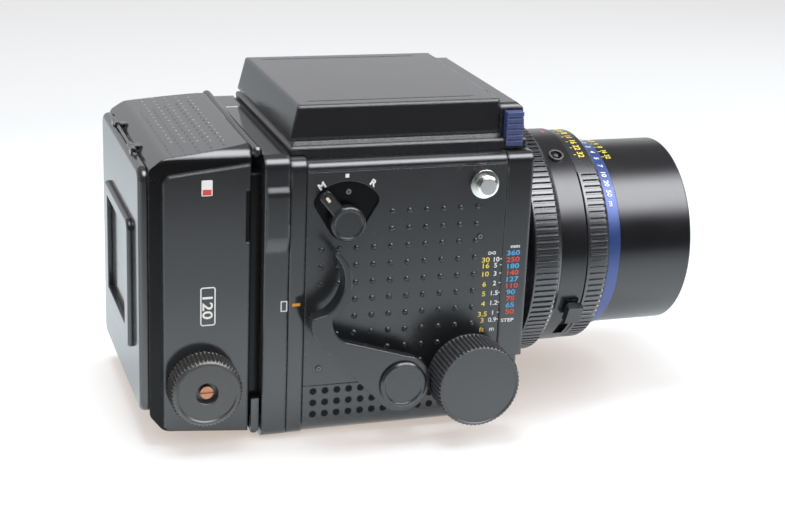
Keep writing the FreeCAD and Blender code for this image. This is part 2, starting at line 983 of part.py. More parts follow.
adapter_plate = framed_plate(
    "adapter", (cell.adapter_rear, cell.adapter_front), cell.adapter_half,
    (cell.adapter_bottom, cell.adapter_top), cell.adapter_corner,
)
adapter_pads = [
    prism(
        "pad_" + side, "YZ_Plane",
        [
            (inner, cell.pad_bottom - 3.5),
            (inner + slope * 0.35, cell.pad_bottom - 2.8),
            (inner + slope * 0.85, cell.pad_bottom + 0.6),
            (inner + slope, cell.pad_bottom + 2.4),
            (inner + slope, cell.pad_top - 1.6),
            (inner + slope * 0.85, cell.pad_top - 0.2),
            (inner, cell.pad_top + 2.4),
        ],
        cell.adapter_rear + 0.5, cell.adapter_front - cell.adapter_rear - 0.8,
    )
    for side, inner, slope in (
        ("right", -cell.adapter_half + 0.2, -cell.pad_rise - 0.2),
        ("left", cell.adapter_half - 0.2, cell.pad_rise + 0.2),
    )
]
bearing = rod(
    "bearing", "x", cell.bearing_radius - cell.running_gap,
    (cell.adapter_front - 1, cell.adapter_front + cell.bearing_depth), (0, axis_height),
)
gate_half = cell.gate_width / 2
gate_half_height = cell.gate_height / 2
adapter_window = box(
    "adapter_window", (cell.adapter_rear - 1, cell.adapter_front + cell.bearing_depth + 1),
    both(gate_half + 1), about(axis_height, gate_half_height + 1),
)
sub_part(
    "revolving_adapter",
    cut("adapter", join("adapter_solid", adapter_plate, bearing, *adapter_pads),
        adapter_window),
)


# Slide locks along the adapter's upper and lower edges

bar_end = cell.lock_bar_half
bar_bevel = cell.lock_bar_radius * 0.5
sub_part(
    "upper_slide_lock",
    turned(
        "upper_bar", "y",
        [
            (-bar_end, 0),
            (-bar_end, bar_bevel),
            (-bar_end + bar_bevel, cell.lock_bar_radius),
            (bar_end - bar_bevel, cell.lock_bar_radius),
            (bar_end, bar_bevel),
            (bar_end, 0),
        ],
        (cell.lock_bar_place, cell.back_top - cell.upper_bar_drop),
    ),
)
lower_bar_height = cell.back_bottom + cell.lower_bar_rise
lower_bar = rod(
    "lower_bar", "y", cell.lock_bar_radius - 0.3, both(cell.lock_bar_half),
    (cell.lock_bar_place, lower_bar_height),
)
lower_tab = box(
    "lower_tab", about(cell.lock_bar_place, cell.lock_bar_radius - 0.4),
    (-cell.lock_bar_half - 1.5, -cell.lock_bar_half + 1), (lower_bar_height, lower_bar_height + 13.7),
)
sub_part("lower_slide_lock", join("lower_lock", lower_bar, lower_tab))


# Film back casing: a tapered shell, two raised side panels and a gated neck

casing_side = prism(
    "casing_side", "XZ_Plane",
    [
        (cell.back_front, cell.back_bottom),
        (cell.back_front, cell.back_top),
        (cell.back_slope_end, cell.back_top - cell.back_taper_top),
        (cell.back_rear, cell.back_nose_top),
        (cell.back_rear, cell.back_nose_bottom),
        (cell.back_slope_end, cell.back_bottom + cell.back_taper_bottom),
    ],
    -cell.back_half, cell.back_half * 2,
)
shoulder_low = cell.back_bottom + cell.back_shoulder
shoulder_high = cell.back_top - cell.back_shoulder
casing_section = rounded(
    "casing_section",
    box("casing_block", (cell.back_rear - 1, cell.back_front + 1), both(cell.back_half),
        (cell.back_bottom, cell.back_top)),
    cell.back_shoulder,
    lambda edge: runs_along(edge, "x"),
)
casing_bends = rounded(
    "casing_bends", casing_side, cell.back_bend,
    lambda edge: runs_along(edge, "y")
    and abs(edge.CenterOfMass.x - cell.back_slope_end.number) < 0.1,
)
casing_lips = rounded(
    "casing_lips", casing_bends, cell.back_lip,
    lambda edge: runs_along(edge, "y")
    and edge.CenterOfMass.x < cell.back_rear.number + 0.1,
)
casing_solid = shared("casing_solid", casing_lips, casing_section)
pad_front = cell.back_front - 0.6
pad_rear = cell.back_slope_end - 0.4


def side_pad(name, start):
    return prism(
        name, "XZ_Plane",
        [
            (pad_front, cell.back_bottom + 1.8),
            (pad_front, shoulder_high + 0.4),
            (pad_rear + 2, shoulder_high - 3.0),
            (pad_rear, shoulder_high - 5.2),
            (pad_rear, cell.back_bottom + 6.4),
            (pad_rear + 2, cell.back_bottom + 4.6),
        ],
        start, cell.side_pad_rise + 2,
    )


right_pad = side_pad("right_pad", cell.back_half - 2)
left_pad = side_pad("left_pad", -cell.back_half - cell.side_pad_rise)
casing_neck = box(
    "casing_neck", (cell.back_front - 1, cell.adapter_rear), both(cell.neck_half),
    (cell.neck_bottom, cell.neck_top),
)
slide_span = (cell.slide_front - cell.slide_thickness, cell.slide_front)
slide_slot = box(
    "slide_slot",
    (slide_span[0] - cell.slide_slot_gap, slide_span[1] + cell.slide_slot_gap),
    (cell.slide_tip - 0.5, cell.neck_half + 1),
    about(axis_height, cell.slide_half_height + 0.3),
)
casing_cavity = box(
    "casing_cavity", (cell.back_rear - 1, cell.back_front - cell.back_front_wall),
    both(cell.back_cavity_half), (cell.back_cavity_bottom, cell.back_cavity_top),
)
film_gate = box(
    "film_gate", (cell.back_front - 6, cell.adapter_rear + 1), both(gate_half),
    about(axis_height, gate_half_height),
)
thumb_scallop = rod(
    "thumb_scallop", "z", 3.4, (cell.pad_bottom, cell.pad_top),
    (cell.back_front + 1.2, -cell.back_half - cell.side_pad_rise - 0.6),
)
knob_shaft_hole = rod(
    "knob_shaft_hole", "y", cell.spool_bore,
    (-cell.back_half - 3, -cell.back_cavity_half + 1),
    (cell.spool_place, cell.take_up_height),
)
hinge_spans = ((15.0, 19.8), (-19.8, -15.0))
casing_knuckles = []
for i, span in enumerate(hinge_spans):
    knuckle = rod(
        f"casing_knuckle_{i}", "y", cell.cover_barrel, span,
        (cell.cover_axis_place, cell.cover_axis_height),
    )
    web = box(
        f"casing_web_{i}", (cell.cover_axis_place, cell.cover_axis_place + 4),
        span, (cell.cover_axis_height - 0.8, cell.cover_axis_height + 0.5),
    )
    casing_knuckles += [knuckle, web]
cover_pin = rod(
    "cover_pin", "y", cell.cover_pin, both(25.0),
    (cell.cover_axis_place, cell.cover_axis_height),
)
casing_full = join("casing_full", casing_solid, right_pad, left_pad, casing_neck)
casing_open = cut(
    "casing_open", casing_full, slide_slot, casing_cavity, film_gate, thumb_scallop,
    knob_shaft_hole,
)
sub_part("film_back_casing", join("casing", casing_open, *casing_knuckles, cover_pin))


# Film insert with its cheeks, gate plate, rollers and supply studs

insert_span = (cell.insert_rear, cell.insert_front)
cheek_reach = cell.roller_offset + 3.2
cheeks = [
    box("cheek_" + side, insert_span, span, about(axis_height, cheek_reach))
    for side, span in (
        ("right", (-cell.insert_half, -cell.insert_half + cell.insert_cheek)),
        ("left", (cell.insert_half - cell.insert_cheek, cell.insert_half)),
    )
]
gate_plate = box(
    "gate_plate", (cell.insert_front - 1.4, cell.insert_front),
    both(cell.insert_half), about(axis_height, cell.insert_half_height + 2.2),
)
insert_window = box(
    "insert_window", (cell.insert_front - 3, cell.insert_front + 1), both(gate_half),
    about(axis_height, gate_half_height),
)
rollers = [
    rod("roller_" + name, "y", cell.roller_radius, both(cell.insert_half - 0.5),
        (cell.roller_place, axis_height + offset))
    for name, offset in (("upper", cell.roller_offset), ("lower", -cell.roller_offset))
]
stud_inner = cell.spool_half - 3
studs = [
    rod(name, "y", cell.spool_bore - cell.stud_gap, span, (cell.spool_place, height))
    for name, span, height in (
        ("supply_stud_left", (stud_inner, cell.insert_half - 0.5), cell.supply_height),
        ("supply_stud_right", (-cell.insert_half + 0.5, -stud_inner), cell.supply_height),
        ("take_up_stud", (stud_inner, cell.insert_half - 0.5), cell.take_up_height),
    )
]
drive_hole = rod(
    "drive_hole", "y", cell.spool_bore,
    (-cell.insert_half - 1, -cell.insert_half + cell.insert_cheek + 1),
    (cell.spool_place, cell.take_up_height),
)
insert_frame = cut("insert_frame", join("insert_solid", *cheeks, gate_plate),
                   insert_window, drive_hole)
pressure_plate = box(
    "plate", (cell.insert_front - 3.0, cell.insert_front - 1.7), both(gate_half + 2.5),
    about(axis_height, cell.insert_half_height),
)
sub_part("film_insert", join("insert", insert_frame, *rollers, *studs, pressure_plate))


# Spools: the core, two flanges and the film wound between them

def spool(name, film_radius, height):
    half = cell.spool_half
    inner = half - cell.spool_flange
    corners = [
        (-half, cell.spool_bore),
        (-half, cell.spool_flange_radius),
        (-inner, cell.spool_flange_radius),
        (-inner, film_radius),
        (inner, film_radius),
        (inner, cell.spool_flange_radius),
        (half, cell.spool_flange_radius),
        (half, cell.spool_bore),
    ]
    return turned(name, "y", corners, (cell.spool_place, height))


sub_part("take_up_spool", spool("take_up", cell.film_on_take_up, cell.take_up_height))
sub_part("supply_spool", spool("supply", cell.film_on_supply, cell.supply_height))


# Film advance knob, its shaft and the screw in its open centre

knob_inner = -cell.advance_knob_inner
knob_outer = -cell.advance_knob_outer
shaft_radius = cell.spool_bore - cell.stud_gap
advance_knob = turned(
    "advance_knob", "y",
    [
        (-stud_inner, 0),
        (-stud_inner, shaft_radius),
        (knob_inner, shaft_radius),
        (knob_inner, cell.advance_knob_radius),
        (knob_outer + 1, cell.advance_knob_radius),
        (knob_outer + 1, cell.advance_knob_radius - 0.8),
        (knob_outer, cell.advance_knob_radius - 1.8),
        (knob_outer, 4.2),
        (knob_outer + 3.4, 3.9),
        (knob_outer + 3.4, 0),
    ],
    (cell.spool_place, cell.take_up_height),
)
sub_part(
    "film_advance_knob",
    fluted(advance_knob, "y", cell.advance_knob_radius, 0.9, 0.7,
           cell.advance_knob_flutes),
)
screw_blank = rod(
    "screw_blank", "y", 2.6, (knob_outer + 1.6, knob_outer + 3.4),
    (cell.spool_place, cell.take_up_height),
)
sub_part(
    "advance_knob_screw",
    cut("slotted_screw", screw_blank,
        box("screw_slot", about(cell.spool_place, 3), (knob_outer + 1, knob_outer + 2.2),
            about(cell.take_up_height, 0.4))),
)


# Rear cover, its hinge knuckle and the memo holder on it

cover_blank = rounded(
    "cover_corners",
    box("cover_block", (cell.cover_rear, cell.cover_front), both(cell.cover_half),
        (cell.cover_bottom, cell.cover_top)),
    cell.cover_corner,
    lambda edge: runs_along(edge, "x"),
)
cover_shell = rounded(
    "cover_shell", cover_blank, cell.cover_edge,
    lambda edge: abs(edge.CenterOfMass.x - cell.cover_rear.number) < 0.01,
)
cover_knuckles = [
    rod(f"cover_knuckle_{i}", "y", cell.cover_barrel, span,
        (cell.cover_axis_place, cell.cover_axis_height))
    for i, span in enumerate(((20.0, 25.0), (-25.0, -20.0)))
]
knuckle_webs = [
    box(f"cover_web_{i}", (cell.cover_axis_place - 1.2, cell.cover_axis_place + 1.2), span,
        (cell.cover_top - 1, cell.cover_axis_height))
    for i, span in enumerate(((20.0, 25.0), (-25.0, -20.0)))
]
knuckle_bore = rod(
    "knuckle_bore", "y", cell.cover_pin + cell.running_gap, both(27.0),
    (cell.cover_axis_place, cell.cover_axis_height),
)
sub_part(
    "rear_cover",
    cut("cover", join("cover_solid", cover_shell, *cover_knuckles, *knuckle_webs),
        knuckle_bore),
)
memo_block = rounded(
    "memo_corners",
    box("memo_block", (cell.cover_rear - cell.memo_rise, cell.cover_rear),
        both(cell.memo_half), (cell.memo_bottom, cell.memo_top)),
    cell.memo_rise * 2,
    lambda edge: runs_along(edge, "x"),
)
memo_edge = rounded(
    "memo_edge", memo_block, cell.memo_rise * 0.6,
    lambda edge: edge.CenterOfMass.x < (cell.cover_rear - cell.memo_rise).number + 0.01,
)
memo_window = box(
    "memo_window", (cell.cover_rear - cell.memo_rise - 1, cell.cover_rear + 1),
    both(cell.memo_half - cell.memo_frame),
    (cell.memo_bottom + cell.memo_frame, cell.memo_top - cell.memo_frame * 0.6),
)
sub_part("memo_holder", cut("memo", memo_edge, memo_window))


# Dark slide and its handle

slide_blade = box(
    "slide_blade", slide_span, (cell.slide_tip, cell.neck_half + 2),
    about(axis_height, cell.slide_half_height),
)
slide_handle = rounded(
    "slide_handle",
    box("slide_handle_block", about(slide_span[0] + cell.slide_thickness / 2, 1.4),
        (cell.neck_half + cell.face_gap, cell.neck_half + 6.5),
        about(axis_height, cell.slide_half_height - 6)),
    size(1.0),
    lambda edge: runs_along(edge, "z"),
)
sub_part("dark_slide", join("slide", slide_blade, slide_handle))


# Focusing drive: shaft with two pinions, rails with racks, knobs and lock lever

def pinion_outline():
    """Points of an involute pinion, a tooth gap at the top."""
    module = cell.gear_module.number
    teeth = int(cell.pinion_teeth.number)
    pitch = module * teeth / 2
    base = pitch * math.cos(math.radians(20))
    root = pitch - 1.1 * module
    outer = pitch + 0.75 * module
    half_at_pitch = (math.pi * module / 2 - cell.gear_backlash.number) / 2 / pitch

    def involute(radius):
        angle = math.acos(min(1.0, base / radius))
        return math.tan(angle) - angle

    flank = [(root, base), (pitch, pitch), (outer, outer)]
    points = []
    for tooth in range(teeth):
        middle = math.pi / 2 + (tooth + 0.5) * 2 * math.pi / teeth
        halves = [
            (radius, half_at_pitch + involute(pitch) - involute(spot))
            for radius, spot in flank
        ]
        for radius, half in halves:
            points.append((radius, middle - half))
        for radius, half in reversed(halves):
            points.append((radius, middle + half))
    return [(radius * math.cos(a), radius * math.sin(a)) for radius, a in points]


def extruded(points, low, high):
    """A solid along y from points in the XZ plane."""
    corners = [Vector(x, low, z) for x, z in points]
    face = Part.Face(Part.makePolygon(corners + corners[:1]))
    return face.extrude(Vector(0, high - low, 0))


def pinion(name, side):
    middle = cell.rail_place.number * side
    half = cell.pinion_width.number / 2
    gear = shaped(name, extruded(pinion_outline(), middle - half, middle + half))
    place(gear, x=cell.knob_place, z=cell.knob_height)
    return gear


knob_rear = cell.focus_knob_face - cell.focus_knob_thickness
focus_centre = (cell.knob_place, cell.knob_height)
shaft = rod("shaft", "y", cell.focus_shaft_radius, both(knob_rear + 1), focus_centre)
sub_part(
    "focus_shaft",
    join("pinion_shaft", shaft, pinion("pinion_right", -1), pinion("pinion_left", 1)),
)


def rack_points():
    """Outline of a toothed rail: a rack tooth stands over the pinion's top gap."""
    module = cell.gear_module.number
    pitch = math.pi * module
    slope = math.tan(math.radians(20))
    half = (pitch / 2 - cell.gear_backlash.number) / 2
    tip = rack_line.number - 0.75 * module
    root = rack_root.number
    tip_half = half - 0.75 * module * slope
    root_half = half + (root - rack_line.number) * slope
    first = math.ceil((cell.rail_rear.number + 2 - cell.knob_place.number) / pitch)
    last = math.floor((body_front.number - 3 - cell.knob_place.number) / pitch)
    points = [(cell.rail_rear.number, root)]
    for i in range(first, last + 1):
        middle = cell.knob_place.number + i * pitch
        points += [
            (middle - root_half, root),
            (middle - tip_half, tip),
            (middle + tip_half, tip),
            (middle + root_half, root),
        ]
    points += [
        (standard_rear.number, root),
        (standard_rear.number, root + cell.rail_depth.number),
        (cell.rail_rear.number, root + cell.rail_depth.number),
    ]
    return points


def rail(name, side):
    middle = cell.rail_place.number * side
    half = cell.rail_width.number / 2
    return shaped(name, extruded(rack_points(), middle - half, middle + half))


sub_part("focus_rails", join("rails", rail("rail_right", -1), rail("rail_left", 1)))


def focus_knob(name, side):
    face = cell.focus_knob_face * side
    rear = knob_rear * side
    collar = (body_half + 5.1) * side
    radius = cell.focus_knob_radius
    blank = turned(
        name, "y",
        [
            (collar, cell.focus_shaft_radius),
            (collar, cell.focus_shaft_radius + 4),
            (rear, cell.focus_shaft_radius + 4.5),
            (rear, radius),
            (face - 0.6 * side, radius),
            (face, radius - 0.6),
            (face, radius - 1.2),
            (face - 0.4 * side, radius - 1.6),
            (face - 0.4 * side, 0),
            (rear + 1 * side, 0),
            (rear + 1 * side, cell.focus_shaft_radius),
        ],
        focus_centre,
    )
    return fluted(blank, "y", radius, 1.0, 0.75, cell.focus_knob_flutes)


sub_part("focus_knob_right", focus_knob("right_knob", -1))
sub_part("focus_knob_left", focus_knob("left_knob", 1))

lock_span = (body_half + 0.6, body_half + 0.6 + cell.focus_lock_thickness)
lock_disc = rod("lock_disc", "y", cell.focus_lock_radius, lock_span, focus_centre)
lock_arm = box(
    "lock_arm", (cell.knob_place - cell.focus_lock_reach, cell.knob_place), lock_span,
    (cell.knob_height + 1, cell.knob_height + cell.focus_lock_radius - 2),
)
lock_tip = rounded(
    "lock_tip", lock_arm, size(2.0),
    lambda edge: runs_along(edge, "y") and edge.CenterOfMass.x < 12,
)
sub_part(
    "focus_lock_lever",
    cut("focus_lock", join("lock_blank", lock_disc, lock_tip),
        rod("lock_bore", "y", cell.focus_shaft_radius + cell.running_gap,
            (lock_span[0] - 1, lock_span[1] + 1), focus_centre)),
)


# Front standard, its mount boss and the folded bellows

standard_block = box(
    "standard_block", (standard_rear, standard_front), both(body_half),
    (cell.standard_bottom, cell.body_height),
)
standard_plate = rounded("standard_plate", standard_block, cell.shoulder_radius,
                         is_top_long_edge)
mount_boss = rod(
    "mount_boss", "x", cell.mount_boss_radius,
    (standard_front - 1, standard_front + cell.mount_boss_rise), (0, axis_height),
)
throat = rod(
    "throat", "x", cell.throat_radius,
    (standard_rear + cell.bellows_seat, standard_front + cell.mount_boss_rise + 1),
    (0, axis_height),
)
throat_window = box(
    "throat_window", (standard_rear - 1, standard_rear + cell.bellows_seat + 1),
    both(cell.bellows_window), about(axis_height, cell.bellows_window),
)
standard_solid = cut("standard_solid", standard_plate, throat, throat_window)
boss_ring = cut(
    "boss_ring", mount_boss,
    rod("boss_hole", "x", cell.throat_radius,
        (standard_front - 2, standard_front + cell.mount_boss_rise + 1),
        (0, axis_height)),
)
boss_relief = box(
    "boss_relief", (standard_front - 2, standard_front), both(body_half),
    (0, cell.standard_bottom),
)
sub_part(
    "front_standard",
    join("standard", standard_solid, cut("boss", boss_ring, boss_relief)),
)


def square_wire(half, x):
    middle = axis_height.number
    corners = [(-half, -half), (half, -half), (half, half), (-half, half), (-half, -half)]
    return Part.makePolygon([Vector(x, y, middle + z) for y, z in corners])


def bellows_shape():
    """A square tube whose wall runs in and out once for each fold."""
    folds = int(cell.bellows_folds.number)
    start = cell.bellows_rear.number
    length = standard_rear.number - start
    outer = []
    inner = []
    for i in range(2 * folds + 1):
        x = start + length * i / (2 * folds)
        half = cell.bellows_half.number - (i % 2) * cell.bellows_fold.number
        outer.append(square_wire(half, x))
        inner.append(square_wire(half - cell.bellows_wall.number, x))
    return Part.makeLoft(outer, True, True).cut(Part.makeLoft(inner, True, True))


sub_part("bellows", shaped("bellows_tube", bellows_shape()))


# Reflex mirror on its pins, lying at rest at 45 degrees, and the focusing screen

def tilted(name, span, half, rise):
    """A slab that hangs forward and down from the mirror's axis."""
    slab = document.addObject("Part::Box", name)
    angle = cell.mirror_angle.number
    turn = Rotation(Vector(0, 1, 0), angle)
    bind(slab, "Length", size(span[1]) - span[0])
    bind(slab, "Width", half * 2)
    bind(slab, "Height", size(rise[1]) - rise[0])
    offset = turn.multVec(Vector(size(span[0]).number, 0, size(rise[0]).number))
    slab.Placement = Placement(Vector(), turn)
    place(slab, cell.mirror_axis_place + offset.x, -half, cell.mirror_axis_height + offset.z)
    return slab


mirror_half = cell.mirror_width / 2
mirror_barrel = rod(
    "mirror_barrel", "y", cell.mirror_pin_radius + 1.2, both(mirror_half),
    (cell.mirror_axis_place, cell.mirror_axis_height),
)
mirror_bore = rod(
    "mirror_bore", "y", cell.mirror_pin_radius + cell.running_gap, both(mirror_half + 1),
    (cell.mirror_axis_place, cell.mirror_axis_height),
)
mirror_backing = tilted(
    "mirror_backing", (0.5, cell.mirror_length), mirror_half,
    (-cell.mirror_plate / 2, cell.mirror_plate / 2),
)
sub_part(
    "mirror_frame",
    cut("mirror_carrier", join("carrier_solid", mirror_backing, mirror_barrel), mirror_bore),
)
sub_part(
    "reflex_mirror",
    tilted("mirror_sheet", (3, cell.mirror_length - 0.5), mirror_half - 1,
           (cell.mirror_plate / 2, cell.mirror_plate / 2 + cell.mirror_glass)),
)
sub_part(
    "focusing_screen",
    box("screen", about(3, screen_half - cell.sliding_gap),
        both(screen_half - cell.sliding_gap),
        (cell.screen_height, cell.screen_height + cell.screen_thickness)),
)


# Cocking lever: an arm from the hub to a curved finger piece

def lever_outline():
    """The lever seen from the camera's right side, in arcs and straight runs."""
    hub_x = cell.cocking_place.number
    hub_z = cell.cocking_height.number
    boss = cell.cocking_boss_radius.number

    def at(x, z):
        return Vector(hub_x + x, 0, hub_z + z)

    runs = [
        (at(1.6, boss * 0.99), at(-24.0, 19.4)),
        (at(-24.0, 19.4), at(-28.0, 23.2), at(-29.6, 29.5)),
        (at(-29.6, 29.5), at(-22.0, 44.5), at(-27.2, 55.6)),
        (at(-27.2, 55.6), at(-28.4, 56.3), at(-29.0, 54.8)),
        (at(-29.0, 54.8), at(-24.9, 45.2), at(-31.6, 31.4)),
        (at(-31.6, 31.4), at(-37.4, 29.8)),
        (at(-37.4, 29.8), at(-36.7, 23.0), at(-33.6, 18.3)),
        (at(-33.6, 18.3), at(-boss * 0.8, -boss * 0.6)),
        (at(-boss * 0.8, -boss * 0.6), at(boss * 0.6, -boss * 0.8), at(1.6, boss * 0.99)),
    ]
    edges = []
    for run in runs:
        curve = Part.LineSegment(*run) if len(run) == 2 else Part.Arc(*run)
        edges.append(curve.toShape())
    return Part.Wire(edges)


def lever_slab(name, inner, outer):
    face = Part.Face(lever_outline())
    solid = face.extrude(Vector(0, inner.number - outer.number, 0))
    slab = shaped(name, solid)
    place(slab, y=-inner)
    return slab


cocking_centre = (cell.cocking_place, cell.cocking_height)
arm_plate = lever_slab("arm_plate", cell.cocking_arm_inner, cell.cocking_arm_outer)
finger_blank = lever_slab("finger_blank", cell.cocking_finger_inner, cell.cocking_arm_outer)
finger_zone = box(
    "finger_zone", about(cell.cocking_place - 30, 20),
    (-cell.cocking_arm_outer - 1, -cell.cocking_finger_inner + 1),
    (cell.cocking_height + 29.8, cell.cocking_height + 60),
)
finger_piece = shared("finger_piece", finger_blank, finger_zone)
cocking_boss = rod(
    "cocking_boss", "y", cell.cocking_boss_radius * 0.6,
    (-cell.cocking_arm_inner - 1, -body_half - 0.8), cocking_centre,
)
cocking_spindle = rod(
    "cocking_spindle", "y", cell.focus_shaft_radius,
    (-body_half - 1, -channel_outer + 0.6), cocking_centre,
)
sub_part(
    "cocking_lever",
    join("cocking", arm_plate, finger_piece, cocking_boss, cocking_spindle),
)
hub_inner = -cell.cocking_arm_outer
hub_outer = -cell.cocking_hub_outer
sub_part(
    "cocking_lever_hub",
    turned(
        "cocking_cap", "y",
        [
            (hub_inner, 0),
            (hub_inner, cell.cocking_hub_radius),
            (hub_outer + 0.7, cell.cocking_hub_radius),
            (hub_outer, cell.cocking_hub_radius - 0.7),
            (hub_outer, cell.cocking_hub_radius - 1.6),
            (hub_outer + 0.4, cell.cocking_hub_radius - 1.9),
            (hub_outer + 0.4, 0),
        ],
        cocking_centre,
    ),
)


# Mode lever, speed dial and the shutter release with its collar

mode_centre = (cell.mode_place, cell.mode_height)
mode_floor = -body_half + cell.mode_recess - cell.sliding_gap
mode_face = -body_half - cell.mode_rise
mode_disc = turned(
    "mode_disc", "y",
    [
        (-core_half + 4, 0),
        (-core_half + 4, 2),
        (mode_floor, 2),
        (mode_floor, cell.mode_radius),
        (mode_face + 0.5, cell.mode_radius),
        (mode_face, cell.mode_radius - 0.5),
        (mode_face, cell.mode_radius - 1.3),
        (mode_face + 0.3, cell.mode_radius - 1.5),
        (mode_face + 0.3, 0),
    ],
    mode_centre,
)


def pointer_shape():
    """A straight-sided pointer from the disc's middle, its blunt end softly cornered."""
    angle = math.radians(cell.mode_rest_angle.number)
    reach = cell.mode_reach.number
    along = Vector(math.cos(angle), 0, math.sin(angle))
    across = Vector(-math.sin(angle), 0, math.cos(angle))
    inner = -body_half.number - cell.face_gap.number
    middle = Vector(cell.mode_place.number, inner, cell.mode_height.number)
    half = cell.mode_radius.number * 0.36

    def at(distance, side):
        return middle + along * distance + across * side

    corner = half * 0.4
    wire = Part.Wire([
        Part.LineSegment(at(0, -half), at(reach - corner, -half)).toShape(),
        Part.Arc(at(reach - corner, -half), at(reach - corner * 0.3, -half + corner * 0.3),
                 at(reach, -half + corner)).toShape(),
        Part.LineSegment(at(reach, -half + corner), at(reach, half - corner)).toShape(),
        Part.Arc(at(reach, half - corner), at(reach - corner * 0.3, half - corner * 0.3),
                 at(reach - corner, half)).toShape(),
        Part.LineSegment(at(reach - corner, half), at(0, half)).toShape(),
        Part.LineSegment(at(0, half), at(0, -half)).toShape(),
    ])
    depth = mode_face.number - inner + 0.9
    return Part.Face(wire).extrude(Vector(0, depth, 0))


sub_part("mode_lever", join("mode", mode_disc, shaped("pointer", pointer_shape())))

dial_floor = body_half + cell.face_gap
dial_face = dial_floor + cell.dial_rise
speed_dial = turned(
    "speed_dial", "y",
    [
        (core_half - 4, 0),
        (core_half - 4, 2),
        (dial_floor, 2),
        (dial_floor, cell.dial_radius),
        (dial_face - 2.6, cell.dial_radius),
        (dial_face - 2.6, cell.dial_radius - 1.0),
        (dial_face, cell.dial_radius - 3.0),
        (dial_face, 0),
    ],
    (cell.dial_place, cell.dial_height),
)
sub_part(
    "shutter_speed_dial",
    fluted(speed_dial, "y", cell.dial_radius, 1.0, 0.7, cell.dial_flutes),
)
chin_face = body_front + cell.chin_length
release_centre = (cell.release_side, cell.release_height)
collar_span = (chin_face + cell.sliding_gap, chin_face + 3.2)
sub_part(
    "shutter_release_button",
    turned(
        "release_button", "x",
        [
            (body_front, 0),
            (body_front, cell.release_radius),
            (collar_span[1] + 1.2, cell.release_radius),
            (collar_span[1] + cell.release_travel + 0.4, cell.release_radius - 1.2),
            (collar_span[1] + cell.release_travel, 1.2),
            (collar_span[1] + cell.release_travel - 0.6, 0),
        ],
        release_centre,
    ),
)
release_collar = turned(
    "collar_blank", "x",
    [
        (collar_span[0], cell.release_radius + cell.running_gap),
        (collar_span[0], cell.collar_radius),
        (collar_span[1], cell.collar_radius),
        (collar_span[1], cell.release_radius + cell.running_gap),
    ],
    release_centre,
)
sub_part("release_collar", fluted(release_collar, "x", cell.collar_radius, 0.9, 0.5, 12))


# Lens, turned pieces about the optical axis

lens_centre = (0, axis_height)
tube_bore = cell.lens_tube_radius + cell.sliding_gap
boss_front = standard_front + cell.mount_boss_rise
sub_part(
    "lens_inner_tube",
    turned(
        "lens_tube", "x",
        [
            (cell.lens_tube_rear, cell.rear_glass_radius + 0.05),
            (cell.lens_tube_rear, cell.lens_neck_radius),
            (cell.base_barrel_rear, cell.lens_neck_radius),
            (cell.base_barrel_rear, cell.lens_tube_radius),
            (cell.lens_tube_front, cell.lens_tube_radius),
            (cell.lens_tube_front, cell.front_glass_radius + 0.05),
            (cell.lens_tube_front - 6, cell.front_glass_radius + 0.05),
            (cell.lens_tube_front - 6, 20),
            (cell.aperture_rear, 14),
            (cell.base_barrel_rear, 14),
            (cell.lens_tube_rear + 10, 20),
            (cell.lens_tube_rear + 10, cell.rear_glass_radius + 0.05),
        ],
        lens_centre,
    ),
)
rear_glass = turned(
    "rear_glass", "x",
    [
        (cell.lens_tube_rear, 0),
        (cell.lens_tube_rear + 0.9, cell.rear_glass_radius * 0.6),
        (cell.lens_tube_rear + 3, cell.rear_glass_radius),
        (cell.lens_tube_rear + 9.5, cell.rear_glass_radius),
        (cell.lens_tube_rear + 7.6, 0),
    ],
    lens_centre,
)
front_glass_rear = cell.lens_tube_front - 6
front_glass = turned(
    "front_glass", "x",
    [
        (front_glass_rear + 1.5, 0),
        (front_glass_rear, cell.front_glass_radius * 0.7),
        (front_glass_rear, cell.front_glass_radius),
        (front_glass_rear + 6, cell.front_glass_radius),
        (front_glass_rear + 10, cell.front_glass_radius * 0.78),
        (front_glass_rear + 13.2, cell.front_glass_radius * 0.45),
        (front_glass_rear + 14.4, 0),
    ],
    lens_centre,
)
sub_part("lens_elements", join("glasses", rear_glass, front_glass))
base_barrel = turned(
    "base_barrel", "x",
    [
        (boss_front, cell.lens_neck_radius),
        (boss_front, cell.lens_spigot_radius),
        (cell.base_barrel_rear, cell.lens_spigot_radius),
        (cell.base_barrel_rear, cell.base_barrel_radius),
        (cell.base_barrel_front - 0.4, cell.base_barrel_radius),
        (cell.base_barrel_front, cell.base_barrel_radius - 0.4),
        (cell.base_barrel_front, cell.lens_tube_radius),
        (cell.base_barrel_rear, cell.lens_tube_radius),
        (cell.base_barrel_rear, cell.lens_neck_radius),
    ],
    lens_centre,
)


def ring_sector(name, inner, outer, x, low, high):
    """Part of a ring about the optical axis. Angles run from the camera's right side upwards."""
    solids = []
    for radius, start, end in ((outer, x[0], x[1]), (inner, x[0] - 1, x[1] + 1)):
        height = size(end).number - size(start).number
        solids.append(Part.makeCylinder(
            radius.number, height, Vector(size(start).number, 0, axis_height.number),
            Vector(1, 0, 0), 360,
        ))
    ring = solids[0].cut(solids[1])
    middle = math.radians((low + high) / 2)
    half = math.radians((high - low) / 2)
    far = outer.number * 1.6
    apex = Vector(size(x[0]).number - 1, 0, axis_height.number)

    def away(angle):
        return apex + Vector(0, -math.cos(angle) * far, math.sin(angle) * far)

    corners = [apex, away(middle - half), away(middle), away(middle + half), apex]
    wedge = Part.Face(Part.makePolygon(corners)).extrude(
        Vector(size(x[1]).number - size(x[0]).number + 2, 0, 0)
    )
    return shaped(name, ring.common(wedge))


